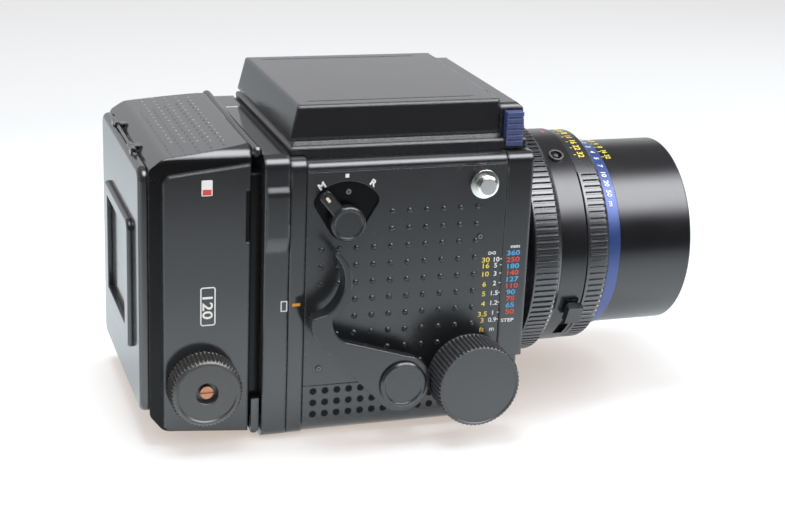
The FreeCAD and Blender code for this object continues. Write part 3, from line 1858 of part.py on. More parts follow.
preview_low = cell.preview_angle.number - cell.preview_throw.number - 7
preview_high = cell.preview_angle.number + 7
groove_span = (cell.base_barrel_front - 6.2, cell.base_barrel_front - 1.8)
groove_floor = cell.base_barrel_radius - 2.2
preview_groove = ring_sector(
    "preview_groove", groove_floor, cell.base_barrel_radius + 1, groove_span,
    preview_low, preview_high,
)


def radial(name, radius, inner, outer, x, angle):
    """A cylinder that stands out from the optical axis at an angle from the right side."""
    turn = math.radians(angle.number)
    outward = Vector(0, -math.cos(turn), math.sin(turn))
    start = Vector(x.number, 0, axis_height.number) + outward * inner.number
    return Part.makeCylinder(radius, outer.number - inner.number, start, outward)


socket_hole = shaped(
    "socket_hole",
    radial("hole", cell.socket_radius.number, cell.base_barrel_radius - 3,
           cell.base_barrel_radius + 2, cell.socket_place, cell.socket_angle),
)
sub_part(
    "lens_base_barrel",
    cut("lens_base", base_barrel, preview_groove, socket_hole),
)
socket_shell = radial(
    "shell", cell.socket_radius.number, cell.base_barrel_radius - 3,
    cell.base_barrel_radius + 1, cell.socket_place, cell.socket_angle,
)
socket_gap = radial(
    "gap", cell.socket_radius.number - 0.8, cell.base_barrel_radius - 2.2,
    cell.base_barrel_radius + 2, cell.socket_place, cell.socket_angle,
)
socket_pin = radial(
    "pin", 0.9, cell.base_barrel_radius - 2.6, cell.base_barrel_radius + 0.6,
    cell.socket_place, cell.socket_angle,
)
sub_part("sync_socket", shaped("socket", socket_shell.cut(socket_gap).fuse(socket_pin)))

foot_angle = 5.5
preview_foot = ring_sector(
    "preview_foot", groove_floor + cell.running_gap, cell.base_barrel_radius - 0.3,
    (groove_span[0] + 0.15, groove_span[1] - 0.15),
    cell.preview_angle.number - foot_angle, cell.preview_angle.number + foot_angle,
)


def preview_cap():
    """A square finger block that stands on the foot."""
    turn = cell.preview_angle.number
    inner = cell.base_barrel_radius.number - 1
    outer = cell.base_barrel_radius.number + cell.preview_rise.number
    half = cell.preview_width.number / 2
    middle = (groove_span[0].number + groove_span[1].number) / 2
    block = Part.makeBox(
        3.4, outer - inner, half * 1.3, Vector(middle - 1.7, -outer, -half * 0.65)
    )
    head = Part.makeBox(
        6.6, cell.preview_rise.number - 1.2, half * 2,
        Vector(middle - 3.3, -outer, -half),
    )
    cap = block.fuse(head).removeSplitter()
    cap.rotate(Vector(), Vector(1, 0, 0), -turn)
    cap.translate(Vector(0, 0, axis_height.number))
    return cap


sub_part("preview_lever", join("preview", preview_foot, shaped("preview_block", preview_cap())))

lock_front = cell.lock_ring_rear + cell.lock_ring_length
lock_ring = turned(
    "lock_ring", "x",
    [
        (cell.lock_ring_rear, cell.lens_spigot_radius + cell.running_gap),
        (cell.lock_ring_rear, cell.lock_ring_radius),
        (lock_front - 1.2, cell.lock_ring_radius),
        (lock_front - 1.2, cell.lock_ring_radius - 0.9),
        (lock_front, cell.base_barrel_radius + 0.6),
        (lock_front + 0.9, cell.base_barrel_radius + 0.4),
        (lock_front + 0.9, cell.lens_spigot_radius + cell.running_gap),
    ],
    lens_centre,
)
sub_part(
    "lens_lock_ring",
    fluted(lock_ring, "x", cell.lock_ring_radius, 1.3, 0.8, cell.lock_ring_flutes),
)
aperture_ring = turned(
    "aperture_blank", "x",
    [
        (cell.aperture_rear, tube_bore),
        (cell.aperture_rear, cell.aperture_radius),
        (cell.aperture_front - 2.4, cell.aperture_radius),
        (cell.aperture_front, cell.aperture_nose_radius),
        (cell.aperture_front, tube_bore),
    ],
    lens_centre,
)
fluted(
    aperture_ring, "x", cell.aperture_radius, 1.1, 0.7, cell.aperture_grips,
    (cell.aperture_front - 2.8, 6.6), 280,
)
aperture_ring.Placement = Placement(Vector(), Rotation(Vector(1, 0, 0), 40))
place(aperture_ring, z=axis_height)
sub_part("aperture_ring", aperture_ring)
sub_part(
    "floating_ring",
    turned(
        "blue_ring", "x",
        [
            (cell.blue_rear, tube_bore),
            (cell.blue_rear, cell.blue_radius),
            (cell.blue_front, cell.blue_radius - 0.7),
            (cell.blue_front, tube_bore),
        ],
        lens_centre,
    ),
)
thread_rear = cell.barrel_front - cell.filter_thread_length
sub_part(
    "front_barrel",
    turned(
        "barrel", "x",
        [
            (cell.barrel_rear, cell.lens_tube_radius),
            (cell.barrel_rear, cell.barrel_radius),
            (cell.barrel_front - 0.5, cell.barrel_radius),
            (cell.barrel_front, cell.barrel_radius - 0.4),
            (cell.barrel_front, cell.filter_thread_radius),
            (thread_rear, cell.filter_thread_radius),
            (thread_rear, cell.filter_thread_radius - 1.6),
            (cell.lens_tube_front + 3.4, cell.front_glass_radius + 1.2),
            (cell.lens_tube_front + 1.0, cell.front_glass_radius + 0.2),
            (cell.lens_tube_front, cell.front_glass_radius + 0.2),
            (cell.lens_tube_front, cell.lens_tube_radius),
        ],
        lens_centre,
    ),
)


# Finder housing: stepped base, front cap, inner rim and hinge lugs

skirt = box(
    "skirt", (cell.skirt_rear, cell.cap_front), both(cell.skirt_half),
    (cell.body_height, cell.skirt_top),
)
index_clear = box(
    "index_clear", (cell.skirt_rear - 1, cell.body_rear + cell.seam),
    both(cell.skirt_half + 1), (cell.body_height - 1, cell.index_top + cell.face_gap),
)
skirt_edge = rounded(
    "skirt_edge", skirt, size(1.2),
    lambda edge: abs(edge.CenterOfMass.z - cell.skirt_top.number) < 0.01,
)
cap_clear = box(
    "cap_clear", (body_front, cell.cap_front + 1), both(cell.skirt_half + 1),
    (cell.body_height - 1, cell.body_height + cell.cap_lift),
)
band = box(
    "band", (cell.lid_rear + 1.2, cell.cap_rear), both(cell.band_half),
    (cell.skirt_top - 0.5, cell.band_top),
)
cap_block = prism(
    "cap_block", "XZ_Plane",
    [
        (cell.cap_rear, cell.skirt_top - 0.5),
        (cell.cap_rear, cell.cap_top),
        (cell.cap_front - 3.4, cell.cap_top),
        (cell.cap_front - 1.6, cell.cap_top - 1.6),
        (cell.cap_front, cell.skirt_top - 0.5),
    ],
    -cell.lid_half, cell.lid_half * 2,
)
cap_round = rounded(
    "cap_round", cap_block, cell.cap_radius,
    lambda edge: runs_along(edge, "x") and edge.CenterOfMass.z > cell.cap_top.number - 0.1,
)
rim_outer = box(
    "rim_outer", (cell.lid_rear + cell.lid_slope + 1.6, cell.cap_rear - 1), both(cell.rim_half),
    (cell.skirt_top - 0.5, cell.rim_top),
)
rim_inner = box(
    "rim_inner",
    (cell.lid_rear + cell.lid_slope + 1.6 + cell.rim_wall, cell.cap_rear - 2),
    both(cell.rim_half - cell.rim_wall), (cell.band_top, cell.rim_top + 1),
)
light_well = box(
    "light_well", about(3, cell.finder_well / 2), both(cell.finder_well / 2),
    (cell.body_height - 1, cell.band_top + 1),
)
flap_centre = (cell.flap_axis_side, cell.flap_axis_height)
lug_spans = (
    (cell.flap_rear - 2.4, cell.flap_rear - cell.face_gap),
    (cell.flap_front + cell.face_gap, cell.flap_front + 2.6),
)
flap_lugs = [
    box(f"flap_lug_{i}_{side}", span,
        (-cell.rim_half + 0.5, -cell.flap_axis_side + 1.2) if side == "right"
        else (cell.flap_axis_side - 1.2, cell.rim_half - 0.5),
        (cell.band_top - 0.2, cell.rim_top))
    for side in ("right", "left")
    for i, span in enumerate(lug_spans)
]
rear_lugs = [
    box(f"rear_lug_{i}", about(cell.rear_flap_axis, 1.2), span,
        (cell.band_top - 0.2, cell.rear_flap_height + 1.2))
    for i, span in enumerate((
        (cell.rear_flap_half + cell.face_gap, cell.rear_flap_half + 1.9),
        (-cell.rear_flap_half - 1.9, -cell.rear_flap_half - cell.face_gap),
    ))
]
hinge_x = cell.cap_rear - cell.seam
hinge_z = cell.cap_top + 0.1
lid_knuckle = 1.6
cap_groove = [
    rod(f"cap_groove_{i}", "y", lid_knuckle + cell.face_gap, span, (hinge_x, hinge_z))
    for i, span in enumerate(((25.4, 38.8), (-38.8, -25.4)))
]
cap_knuckles = [
    rod(f"cap_knuckle_{i}", "y", lid_knuckle, span, (hinge_x, hinge_z))
    for i, span in enumerate(((30.0, 34.2), (-34.2, -30.0)))
]
cap_webs = [
    box(f"cap_web_{i}", (hinge_x, hinge_x + 3.6), span, (hinge_z - 1.6, hinge_z - 0.1))
    for i, span in enumerate(((30.0, 34.2), (-34.2, -30.0)))
]
catch_clear = cell.sliding_gap
catch_pockets = [
    box(
        "catch_pocket_" + side,
        (cell.catch_rear - catch_clear, cell.catch_front + catch_clear), span,
        (cell.catch_bottom - catch_clear, cell.catch_top + catch_clear),
    )
    for side, span in (
        ("right", (-cell.skirt_half - 1, -cell.catch_inner + cell.catch_travel + 0.3)),
        ("left", (cell.catch_inner - cell.catch_travel - 0.3, cell.skirt_half + 1)),
    )
]
finder_solid = join("finder_solid", skirt_edge, band, cap_round,
                    cut("rim", rim_outer, rim_inner), *flap_lugs, *rear_lugs)
finder_open = cut("finder_open", finder_solid, light_well, cap_clear, index_clear,
                  *cap_groove, *catch_pockets)
sub_part("finder_housing", join("finder", finder_open, *cap_knuckles, *cap_webs))


# Finder lid, a shallow drafted tray that swings up on the cap's knuckles

lid_bottom = cell.band_top + 0.15
lid_back = cell.lid_rear + cell.lid_slope
lid_outer = document.addObject("Part::Wedge", "lid_outer")
low_half = cell.lid_half + cell.lid_draft
for attribute, value in (
    ("Xmin", cell.lid_rear), ("Xmax", cell.lid_front),
    ("X2min", cell.lid_rear + cell.lid_slope), ("X2max", cell.lid_front),
    ("Ymin", 0), ("Ymax", cell.lid_top - lid_bottom),
    ("Zmin", -low_half), ("Zmax", low_half),
    ("Z2min", -cell.lid_half), ("Z2max", cell.lid_half),
):
    bind(lid_outer, attribute, value)
lid_outer.Placement = Placement(Vector(), Rotation(Vector(1, 0, 0), 90))
place(lid_outer, z=lid_bottom)
lid_edges = rounded(
    "lid_edges", lid_outer, cell.lid_edge,
    lambda edge: edge.CenterOfMass.z > cell.lid_top.number - 0.01
    and edge.CenterOfMass.x < cell.lid_front.number - 0.5,
)
lid_space = box(
    "lid_space", (lid_back + cell.lid_wall * 0.6, cell.lid_front + 1),
    both(cell.lid_half - cell.lid_wall), (lid_bottom - 1, cell.lid_top - cell.lid_plate),
)
lid_notches = [
    rod(f"lid_notch_{i}", "y", lid_knuckle + cell.face_gap, span, (hinge_x, hinge_z))
    for i, span in enumerate(((29.7, 34.5), (-34.5, -29.7)))
]
lid_knuckles = [
    rod(f"lid_knuckle_{i}", "y", lid_knuckle, span, (hinge_x, hinge_z))
    for i, span in enumerate(((25.7, 29.7), (34.5, 38.5), (-29.7, -25.7), (-38.5, -34.5)))
]
lid_bore = rod(
    "lid_bore", "y", 0.75 + cell.running_gap, both(39.0), (hinge_x, hinge_z),
)
lid_lines = [
    box(f"lid_line_{i}", (lid_back + 5.4, cell.lid_front - 9), about(middle, 0.3),
        (cell.lid_top - 0.3, cell.lid_top + 1))
    for i, middle in enumerate((38.0, -38.0))
]
magnifier_x = hinge_x - cell.magnifier_axis
magnifier_z = hinge_z - cell.magnifier_drop
lens_lugs = [
    box(f"lens_lug_{i}", about(magnifier_x, 1.4), span,
        (magnifier_z - 1.2, cell.lid_top - 1))
    for i, span in enumerate((
        (cell.magnifier_half + 0.2, cell.magnifier_half + 2),
        (-cell.magnifier_half - 2, -cell.magnifier_half - 0.2),
    ))
]
lens_bore = rod(
    "lens_bore", "y", cell.magnifier_pin + cell.running_gap,
    both(cell.magnifier_half + 3), (magnifier_x, magnifier_z),
)
lid_tray = cut("lid_tray", lid_edges, lid_space, *lid_notches, *lid_lines)
sub_part(
    "finder_lid",
    cut("lid", join("lid_solid", lid_tray, *lid_knuckles, *lens_lugs), lid_bore,
        lens_bore),
)


# Hood flaps that stand up with the lid, and the folding magnifier

def flap_shape(side):
    """A side flap lying folded. Slanted ends let it rise past the lid and the rear flap."""
    hinge = cell.flap_axis_side.number
    reach = cell.flap_reach.number
    rear = cell.flap_rear.number
    front = cell.flap_front.number
    edge = hinge - reach
    z = cell.flap_axis_height.number - cell.flap_sheet.number / 2
    corners = [
        (rear, hinge - 0.5),
        (rear, hinge - 6),
        (rear + 17, edge),
        (front - 4.5, edge),
        (front, hinge - 19),
        (front, hinge - 0.5),
    ]
    points = [Vector(x, y * side, z) for x, y in corners]
    face = Part.Face(Part.makePolygon(points + points[:1]))
    return face.extrude(Vector(0, 0, cell.flap_sheet.number))


def side_flap(label, side):
    sheet_metal = shaped(label + "_sheet", flap_shape(side))
    centre = (cell.flap_axis_side * side, cell.flap_axis_height)
    span = (cell.flap_rear, cell.flap_front)
    barrel = rod(label + "_barrel", "x", cell.flap_barrel, span, centre)
    bore = rod(label + "_bore", "x", cell.flap_pin + cell.running_gap,
               (span[0] - 1, span[1] + 1), centre)
    return cut(label + "_cut", join(label + "_solid", sheet_metal, barrel), bore)


sub_part("hood_flap_right", side_flap("right_flap", -1))
sub_part("hood_flap_left", side_flap("left_flap", 1))
rear_centre = (cell.rear_flap_axis, cell.rear_flap_height)
rear_sheet = box(
    "rear_sheet", (cell.rear_flap_axis, cell.rear_flap_axis + cell.rear_flap_reach),
    both(cell.rear_flap_half), about(cell.rear_flap_height, cell.flap_sheet / 2),
)
rear_barrel = rod("rear_barrel", "y", cell.flap_barrel, both(cell.rear_flap_half), rear_centre)
rear_bore = rod("rear_bore", "y", cell.flap_pin + cell.running_gap,
                both(cell.rear_flap_half + 1), rear_centre)
sub_part(
    "hood_flap_rear",
    cut("rear_flap", join("rear_flap_solid", rear_sheet, rear_barrel), rear_bore),
)
pins = [
    rod("pin_right", "x", cell.flap_pin, (lug_spans[0][1], lug_spans[1][0]),
        (-cell.flap_axis_side, cell.flap_axis_height)),
    rod("pin_left", "x", cell.flap_pin, (lug_spans[0][1], lug_spans[1][0]), flap_centre),
    rod("pin_rear", "y", cell.flap_pin, both(cell.rear_flap_half + cell.face_gap),
        rear_centre),
    rod("pin_lid_left", "y", 0.75, (25.7, 30.0), (hinge_x, hinge_z)),
    rod("pin_lid_left_outer", "y", 0.75, (34.2, 38.5), (hinge_x, hinge_z)),
    rod("pin_lid_right", "y", 0.75, (-30.0, -25.7), (hinge_x, hinge_z)),
    rod("pin_lid_right_outer", "y", 0.75, (-38.5, -34.2), (hinge_x, hinge_z)),
]
sub_part("hood_hinge_pins", join("hinge_pins", *pins))

glass_x = magnifier_x + cell.magnifier_reach / 2 + 1
frame_slab = box(
    "frame_slab", (magnifier_x, magnifier_x + cell.magnifier_reach),
    both(cell.magnifier_half), about(magnifier_z, cell.magnifier_sheet / 2),
)
frame_round = rounded(
    "frame_round", frame_slab, size(3.0),
    lambda edge: runs_along(edge, "z") and edge.CenterOfMass.x > magnifier_x.number + 5,
)
frame_pins = rod(
    "frame_pins", "y", cell.magnifier_pin, both(cell.magnifier_half + 1.2), (magnifier_x, magnifier_z),
)
glass_hole = rod(
    "glass_hole", "z", cell.magnifier_glass_radius, about(magnifier_z, 3), (glass_x, 0),
)
sub_part(
    "magnifier_frame",
    cut("magnifier_ring", join("magnifier_solid", frame_round, frame_pins), glass_hole),
)
sub_part(
    "magnifier_lens",
    rod("magnifier_glass", "z", cell.magnifier_glass_radius,
        about(magnifier_z, cell.magnifier_sheet / 2), (glass_x, 0)),
)


# Finder release catches, ribbed push pieces on both sides of the cap

def release_catch(name, side):
    low = cell.catch_outer * -1 if side < 0 else cell.catch_inner
    high = cell.catch_inner * -1 if side < 0 else cell.catch_outer
    block = box(
        name + "_block", (cell.catch_rear, cell.catch_front), (low, high),
        (cell.catch_bottom, cell.catch_top),
    )
    face = cell.catch_outer * side
    inner = (cell.catch_outer - 0.7) * side
    span = (face - 1, inner) if side < 0 else (inner, face + 1)
    grooves = [
        box(f"{name}_groove_{i}", (cell.catch_rear - 1, cell.catch_front + 1), span,
            about(cell.catch_bottom + 2.2 + i * 2.25, 0.45))
        for i in range(5)
    ]
    return cut(name, block, *grooves)


sub_part("finder_release_right", release_catch("catch_right", -1))
sub_part("finder_release_left", release_catch("catch_left", 1))


# Check every object, then write each sub-part to its own file

document.recompute()
for thing in document.Objects:
    if "Invalid" in thing.State or "Error" in thing.State:
        raise SystemExit(f"{thing.Name} failed: {thing.State}")
os.makedirs("parts", exist_ok=True)
for thing in sub_parts:
    shape = thing.Shape
    if shape.isNull() or not shape.isValid() or not shape.Solids:
        raise SystemExit(f"{thing.Label} has no valid solid")
    shape.exportStep(f"parts/{thing.Label}.step")
print(f"{len(sub_parts)} sub-parts written")
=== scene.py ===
import math

import bmesh
import bpy
import numpy as np
from mathutils import Matrix, Vector


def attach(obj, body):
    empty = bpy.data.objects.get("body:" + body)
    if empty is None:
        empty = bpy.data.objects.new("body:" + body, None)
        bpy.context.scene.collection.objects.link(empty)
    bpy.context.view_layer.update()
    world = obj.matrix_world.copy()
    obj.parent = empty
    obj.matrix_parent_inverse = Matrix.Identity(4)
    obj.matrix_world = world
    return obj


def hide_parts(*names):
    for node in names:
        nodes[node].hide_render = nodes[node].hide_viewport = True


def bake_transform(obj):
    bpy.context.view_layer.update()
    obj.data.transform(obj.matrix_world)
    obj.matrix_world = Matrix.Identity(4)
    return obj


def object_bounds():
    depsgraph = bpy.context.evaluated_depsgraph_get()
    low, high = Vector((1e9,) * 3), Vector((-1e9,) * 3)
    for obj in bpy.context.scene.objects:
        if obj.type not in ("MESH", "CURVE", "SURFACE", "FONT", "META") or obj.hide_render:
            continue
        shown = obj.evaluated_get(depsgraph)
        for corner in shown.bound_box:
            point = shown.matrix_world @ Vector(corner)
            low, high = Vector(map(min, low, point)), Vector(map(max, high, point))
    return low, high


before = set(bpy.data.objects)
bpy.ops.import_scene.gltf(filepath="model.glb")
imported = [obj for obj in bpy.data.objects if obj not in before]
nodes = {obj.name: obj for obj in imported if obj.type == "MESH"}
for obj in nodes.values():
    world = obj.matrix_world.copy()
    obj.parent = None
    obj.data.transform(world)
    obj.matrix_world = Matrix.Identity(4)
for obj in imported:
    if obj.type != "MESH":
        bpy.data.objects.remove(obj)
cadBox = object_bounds()
mm = 0.001  # shapes are drawn in millimetres; the frame, the room and the finishes are in metres
print("frame loaded:", len(nodes), "parts")


cameraSetup = {
    "place": (-0.1923, -0.6248, 0.2786),
    "right": (0.9518, -0.3040, 0.0404),
    "up": (0.0623, 0.3208, 0.9451),
    "focalPixels": 1628.5,
    "imageWidth": 785,
    "sensorWidth": 36,
    "clipStart": 0.01,
}


def addObject(name, data):
    item = bpy.data.objects.new(name, data)
    bpy.context.scene.collection.objects.link(item)
    return item


def addCamera(setup):
    data = bpy.data.cameras.new("studioCamera")
    data.sensor_width = setup["sensorWidth"]
    data.lens = setup["sensorWidth"] * setup["focalPixels"] / setup["imageWidth"]
    data.clip_start = setup["clipStart"]
    camera = addObject("studioCamera", data)
    right = Vector(setup["right"]).normalized()
    up = Vector(setup["up"])
    up = (up - right * up.dot(right)).normalized()
    back = right.cross(up)
    turn = Matrix((right, up, back)).transposed().to_4x4()
    camera.matrix_world = Matrix.Translation(setup["place"]) @ turn
    bpy.context.scene.camera = camera


addCamera(cameraSetup)
bpy.context.scene.view_settings.view_transform = "Standard"

lamps = {
    "topPanel": {"place": (-0.12, 0.09, 1.25), "aim": (0, 0, 0.06), "size": (0.5, 0.5), "power": 9.5},
    "frontPanel": {"place": (-0.10, -0.85, 1.10), "aim": (0, 0, 0.06), "size": (0.9, 0.9), "power": 2.2},
    "sidePanel": {"place": (-1.0, -0.55, 0.75), "aim": (0, 0, 0.06), "size": (0.7, 0.7), "power": 0.8},
    "rightPanel": {"place": (0.85, 0.08, 0.62), "aim": (0.05, 0, 0.06), "size": (0.5, 0.5), "power": 4.5},
}


def addLamp(name, setup):
    data = bpy.data.lights.new(name, "AREA")
    data.shape = "RECTANGLE"
    data.size, data.size_y = setup["size"]
    data.energy = setup["power"]
    lamp = addObject(name, data)
    lamp.visible_glossy = False
    away = Vector(setup["place"]) - Vector(setup["aim"])
    lamp.matrix_world = Matrix.Translation(setup["place"]) @ away.to_track_quat("Z", "Y").to_matrix().to_4x4()


for name, setup in lamps.items():
    addLamp(name, setup)


def nodeTree(owner):
    owner.use_nodes = True
    owner.node_tree.nodes.clear()
    return owner.node_tree


def feed(tree, value, socket):
    # fills a socket with a number or a colour, or links another node's output to it
    if isinstance(value, bpy.types.NodeSocket):
        tree.links.new(value, socket)
    else:
        socket.default_value = (*value, 1) if np.ndim(value) else value


def addNode(tree, kind, **settings):
    # a node with its settings; a name starting with "in" and a number fills that input
    node = tree.nodes.new("ShaderNode" + kind)
    for key, value in settings.items():
        if key.startswith("in") and key[2:].isdigit():
            node.inputs[int(key[2:])].default_value = value
        else:
            setattr(node, key, value)
    return node


def maths(tree, operation, *operands):
    # one Math node; each operand is a number or another node's output
    node = addNode(tree, "Math", operation=operation)
    for place, operand in enumerate(operands):
        feed(tree, operand, node.inputs[place])
    return node.outputs[0]


def ramp(tree, value, start, end, low, high, kind="SMOOTHSTEP"):
    # low up to start, high from end on, and a soft or a straight rise between them
    step = addNode(tree, "MapRange", interpolation_type=kind, in2=end, in3=low, in4=high)
    feed(tree, start, step.inputs[1])
    feed(tree, value, step.inputs[0])
    return step.outputs[0]


def blended(tree, share, first, second):
    # from the first colour to the second; each is a colour or another node's output
    node = addNode(tree, "Mix", data_type="RGBA")
    for place, value in ((0, share), (6, first), (7, second)):
        feed(tree, value, node.inputs[place])
    return node.outputs[2]


def noise(tree, place, scale, detail, rough=0.5):
    node = addNode(tree, "TexNoise", in3=detail, in4=rough)
    feed(tree, place, node.inputs["Vector"])
    feed(tree, scale, node.inputs["Scale"])
    return node.outputs[0]


def mixShaders(tree, share, first, second):
    node = addNode(tree, "MixShader")
    for place, value in enumerate((share, first.outputs[0], second.outputs[0])):
        feed(tree, value, node.inputs[place])
    return node


def output(tree, kind, shader):
    feed(tree, shader.outputs[0], addNode(tree, "Output" + kind).inputs[0])


def alongAxis(tree, vector, axis):
    node = addNode(tree, "VectorMath", operation="DOT_PRODUCT")
    node.inputs[1].default_value = axis
    feed(tree, vector, node.inputs[0])
    return node.outputs["Value"]


# levels of light, then the directions and the (start, end) of the soft steps between the room's parts
roomLook = {
    "even": 0.60, "front": 0.07, "behind": 0.86, "aboveBehind": 0.28, "overhead": 0.30, "softbox": 12.5,
    "behindWay": (-0.45, 0.89, 0), "behindStep": (-0.10, 0.22), "backdropTop": (0.36, 0.46),
    "overheadStep": (0.78, 0.93), "softboxLean": (0, 0.876, 0.482), "leanStep": (0.16, 0.50),
    "footStep": (0.15, 0.30), "leftStep": (-0.25, 0.0), "rightStep": (0.70, 0.85),
    "evenTint": (0.93, 0.94, 0.96, 1), "glossTint": (0.97, 0.98, 1.02, 1), "seenTint": (0.75, 0.75, 0.76, 1),
}


def studioWorld(look):
    # even light for matt surfaces; gloss sees a dark room in front, a white backdrop behind,
    # a little light overhead and a large softbox above the camera
    world = bpy.data.worlds.new("studioRoom")
    bpy.context.scene.world = world
    tree = nodeTree(world)
    way = addNode(tree, "TexCoord").outputs["Generated"]
    rise = alongAxis(tree, way, (0, 0, 1))
    backdrop = ramp(tree, rise, *look["backdropTop"], look["behind"], look["aboveBehind"])
    behind = ramp(tree, alongAxis(tree, way, look["behindWay"]), *look["behindStep"], 0.0, 1.0)
    wall = maths(tree, "SUBTRACT", backdrop, look["front"])
    wall = maths(tree, "MULTIPLY_ADD", wall, behind, look["front"])
    total = maths(tree, "ADD", wall, ramp(tree, rise, *look["overheadStep"], 0.0, look["overhead"]))
    # the softbox leans 29 degrees to the front and ends softly on its four sides and at its foot
    lean = maths(tree, "ABSOLUTE", alongAxis(tree, way, look["softboxLean"]))
    right = alongAxis(tree, way, (1, 0, 0))
    box = ramp(tree, lean, *look["leanStep"], look["softbox"], 0.0)
    box = maths(tree, "MULTIPLY", box, ramp(tree, rise, *look["footStep"], 0.0, 1.0))
    box = maths(tree, "MULTIPLY", box, ramp(tree, right, *look["leftStep"], 0.0, 1.0))
    box = maths(tree, "MULTIPLY", box, ramp(tree, right, *look["rightStep"], 1.0, 0.0))
    path = addNode(tree, "LightPath")
    seen = maths(tree, "MAXIMUM", path.outputs["Is Camera Ray"], path.outputs["Is Transmission Ray"])
    plain = addNode(tree, "Background", in0=look["evenTint"], in1=look["even"])
    room = addNode(tree, "Background", in0=look["glossTint"])
    feed(tree, maths(tree, "ADD", total, box), room.inputs[1])
    white = addNode(tree, "Background", in0=look["seenTint"], in1=1.0)
    unseen = mixShaders(tree, path.outputs["Is Glossy Ray"], plain, room)
    output(tree, "World", mixShaders(tree, seen, unseen, white))


studioWorld(roomLook)

# farStep is counted from the middle, the other three steps along y, where the front is below zero
floorLook = {
    "half": 4.0, "sink": 0.00002, "glow": (0.50, 0.42, 0.365), "glossGlow": (0.41, 0.40, 0.38),
    "paint": (0.54, 0.62, 0.675), "bounce": (0.82, 0.81, 0.80, 1), "farStep": (0.25, 0.50), "farShade": 0.80,
    "nearRise": (-0.27, -0.09), "nearFall": (-0.06, 0.02), "frontStep": (-0.46, -0.26), "frontLevel": 0.10,
}


def addFloor(look):
    half = look["half"]
    corners = np.array([(-half, -half, 0), (half, -half, 0), (half, half, 0), (-half, half, 0)])
    mesh = bpy.data.meshes.new("studioFloor")
    mesh.from_pydata(corners + np.array([0, 0, cadBox[0][2] - look["sink"]]), [], [(0, 1, 2, 3)])
    floor = addObject("studioFloor", mesh)
    material = bpy.data.materials.new("floorPaper")
    tree = nodeTree(material)
    place = addNode(tree, "TexCoord").outputs["Object"]
    away = addNode(tree, "VectorMath", operation="LENGTH")
    feed(tree, place, away.inputs[0])
    fade = ramp(tree, away.outputs["Value"], *look["farStep"], 1.0, look["farShade"])
    # gloss sees the paper brightest just before the object and fading into a dark room further forward
    forward = alongAxis(tree, place, (0, 1, 0))
    near = ramp(tree, forward, *look["nearRise"], 0.0, 1.0)
    near = maths(tree, "MULTIPLY", near, ramp(tree, forward, *look["nearFall"], 1.0, 0.0))
    bright = maths(tree, "ADD", ramp(tree, forward, *look["frontStep"], look["frontLevel"], 1.0), near)
    path = addNode(tree, "LightPath")
    inGloss = addNode(tree, "Mix")
    feed(tree, path.outputs["Is Glossy Ray"], inGloss.inputs[0])
    inGloss.inputs[2].default_value = 1.0
    feed(tree, bright, inGloss.inputs[3])
    level = maths(tree, "MULTIPLY", fade, inGloss.outputs[0])
    # seen directly or in gloss the paper glows by itself, and its paint part still takes the shadow
    seen = maths(tree, "MAXIMUM", path.outputs["Is Camera Ray"], path.outputs["Is Transmission Ray"])
    seen = maths(tree, "MAXIMUM", seen, path.outputs["Is Glossy Ray"])
    glow = addNode(tree, "Emission")
    hue = blended(tree, path.outputs["Is Glossy Ray"], look["glow"], look["glossGlow"])
    feed(tree, hue, glow.inputs[0])
    feed(tree, level, glow.inputs[1])
    shade = addNode(tree, "VectorMath", operation="SCALE", in0=look["paint"])
    feed(tree, level, shade.inputs["Scale"])
    paint = addNode(tree, "BsdfDiffuse")
    feed(tree, shade.outputs[0], paint.inputs[0])
    both = addNode(tree, "AddShader")
    feed(tree, glow.outputs[0], both.inputs[0])
    feed(tree, paint.outputs[0], both.inputs[1])
    bounce = addNode(tree, "BsdfDiffuse", in0=look["bounce"])
    output(tree, "Material", mixShaders(tree, seen, bounce, both))
    mesh.materials.append(material)


addFloor(floorLook)
print("camera, lamps and floor set")


def newGroup(name, inputs, outputs):
    # a shader node group with named sockets; each is (name, kind, default)
    group = bpy.data.node_groups.new(name, "ShaderNodeTree")
    kinds = {"value": "NodeSocketFloat", "vector": "NodeSocketVector", "colour": "NodeSocketColor"}
    for label, kind, start in inputs:
        socket = group.interface.new_socket(label, in_out="INPUT", socket_type=kinds[kind])
        if start is not None:
            socket.default_value = start
    for label, kind in outputs:
        group.interface.new_socket(label, in_out="OUTPUT", socket_type=kinds[kind])
    return group, group.nodes.new("NodeGroupInput"), group.nodes.new("NodeGroupOutput")


# a noise is (scale, detail) or (scale, detail, roughness); the pebble's scale comes from the finish
grainLook = {"pebble": (2.0, 0.6), "peelShare": 0.4, "peelScale": 0.22, "mottle": (38.0, 4.0, 0.62)}
edgeLook = {"samples": 5, "cornerStep": (0.985, 0.86), "noise": (420.0, 3.0, 0.7), "low": 0.75, "high": 0.8}
dustLook = {
    "specks": 620.0, "speckStep": (0.13, 0.05), "noise": (95.0, 2.0), "noiseStep": (0.56, 0.72),
    "facingStep": (0.2, 1.0), "side": 0.25, "film": 0.10,
}


def grainGroup(look):
    # moulded or painted skin: soft orange peel under a fine pebble, both as one height
    group, start, end = newGroup(
        "mouldedGrain",
        [("Place", "vector", None), ("Pebble Size", "value", 0.0004)],
        [("Height", "value"), ("Mottle", "value")],
    )
    place = start.outputs["Place"]
    fine = maths(group, "DIVIDE", 1.0, start.outputs["Pebble Size"])
    mixed = addNode(group, "Mix", in0=look["peelShare"])
    feed(group, noise(group, place, fine, *look["pebble"]), mixed.inputs[2])
    feed(group, noise(group, place, maths(group, "MULTIPLY", fine, look["peelScale"]), 1.0), mixed.inputs[3])
    feed(group, mixed.outputs[0], end.inputs["Height"])
    feed(group, noise(group, place, *look["mottle"]), end.inputs["Mottle"])
    return group


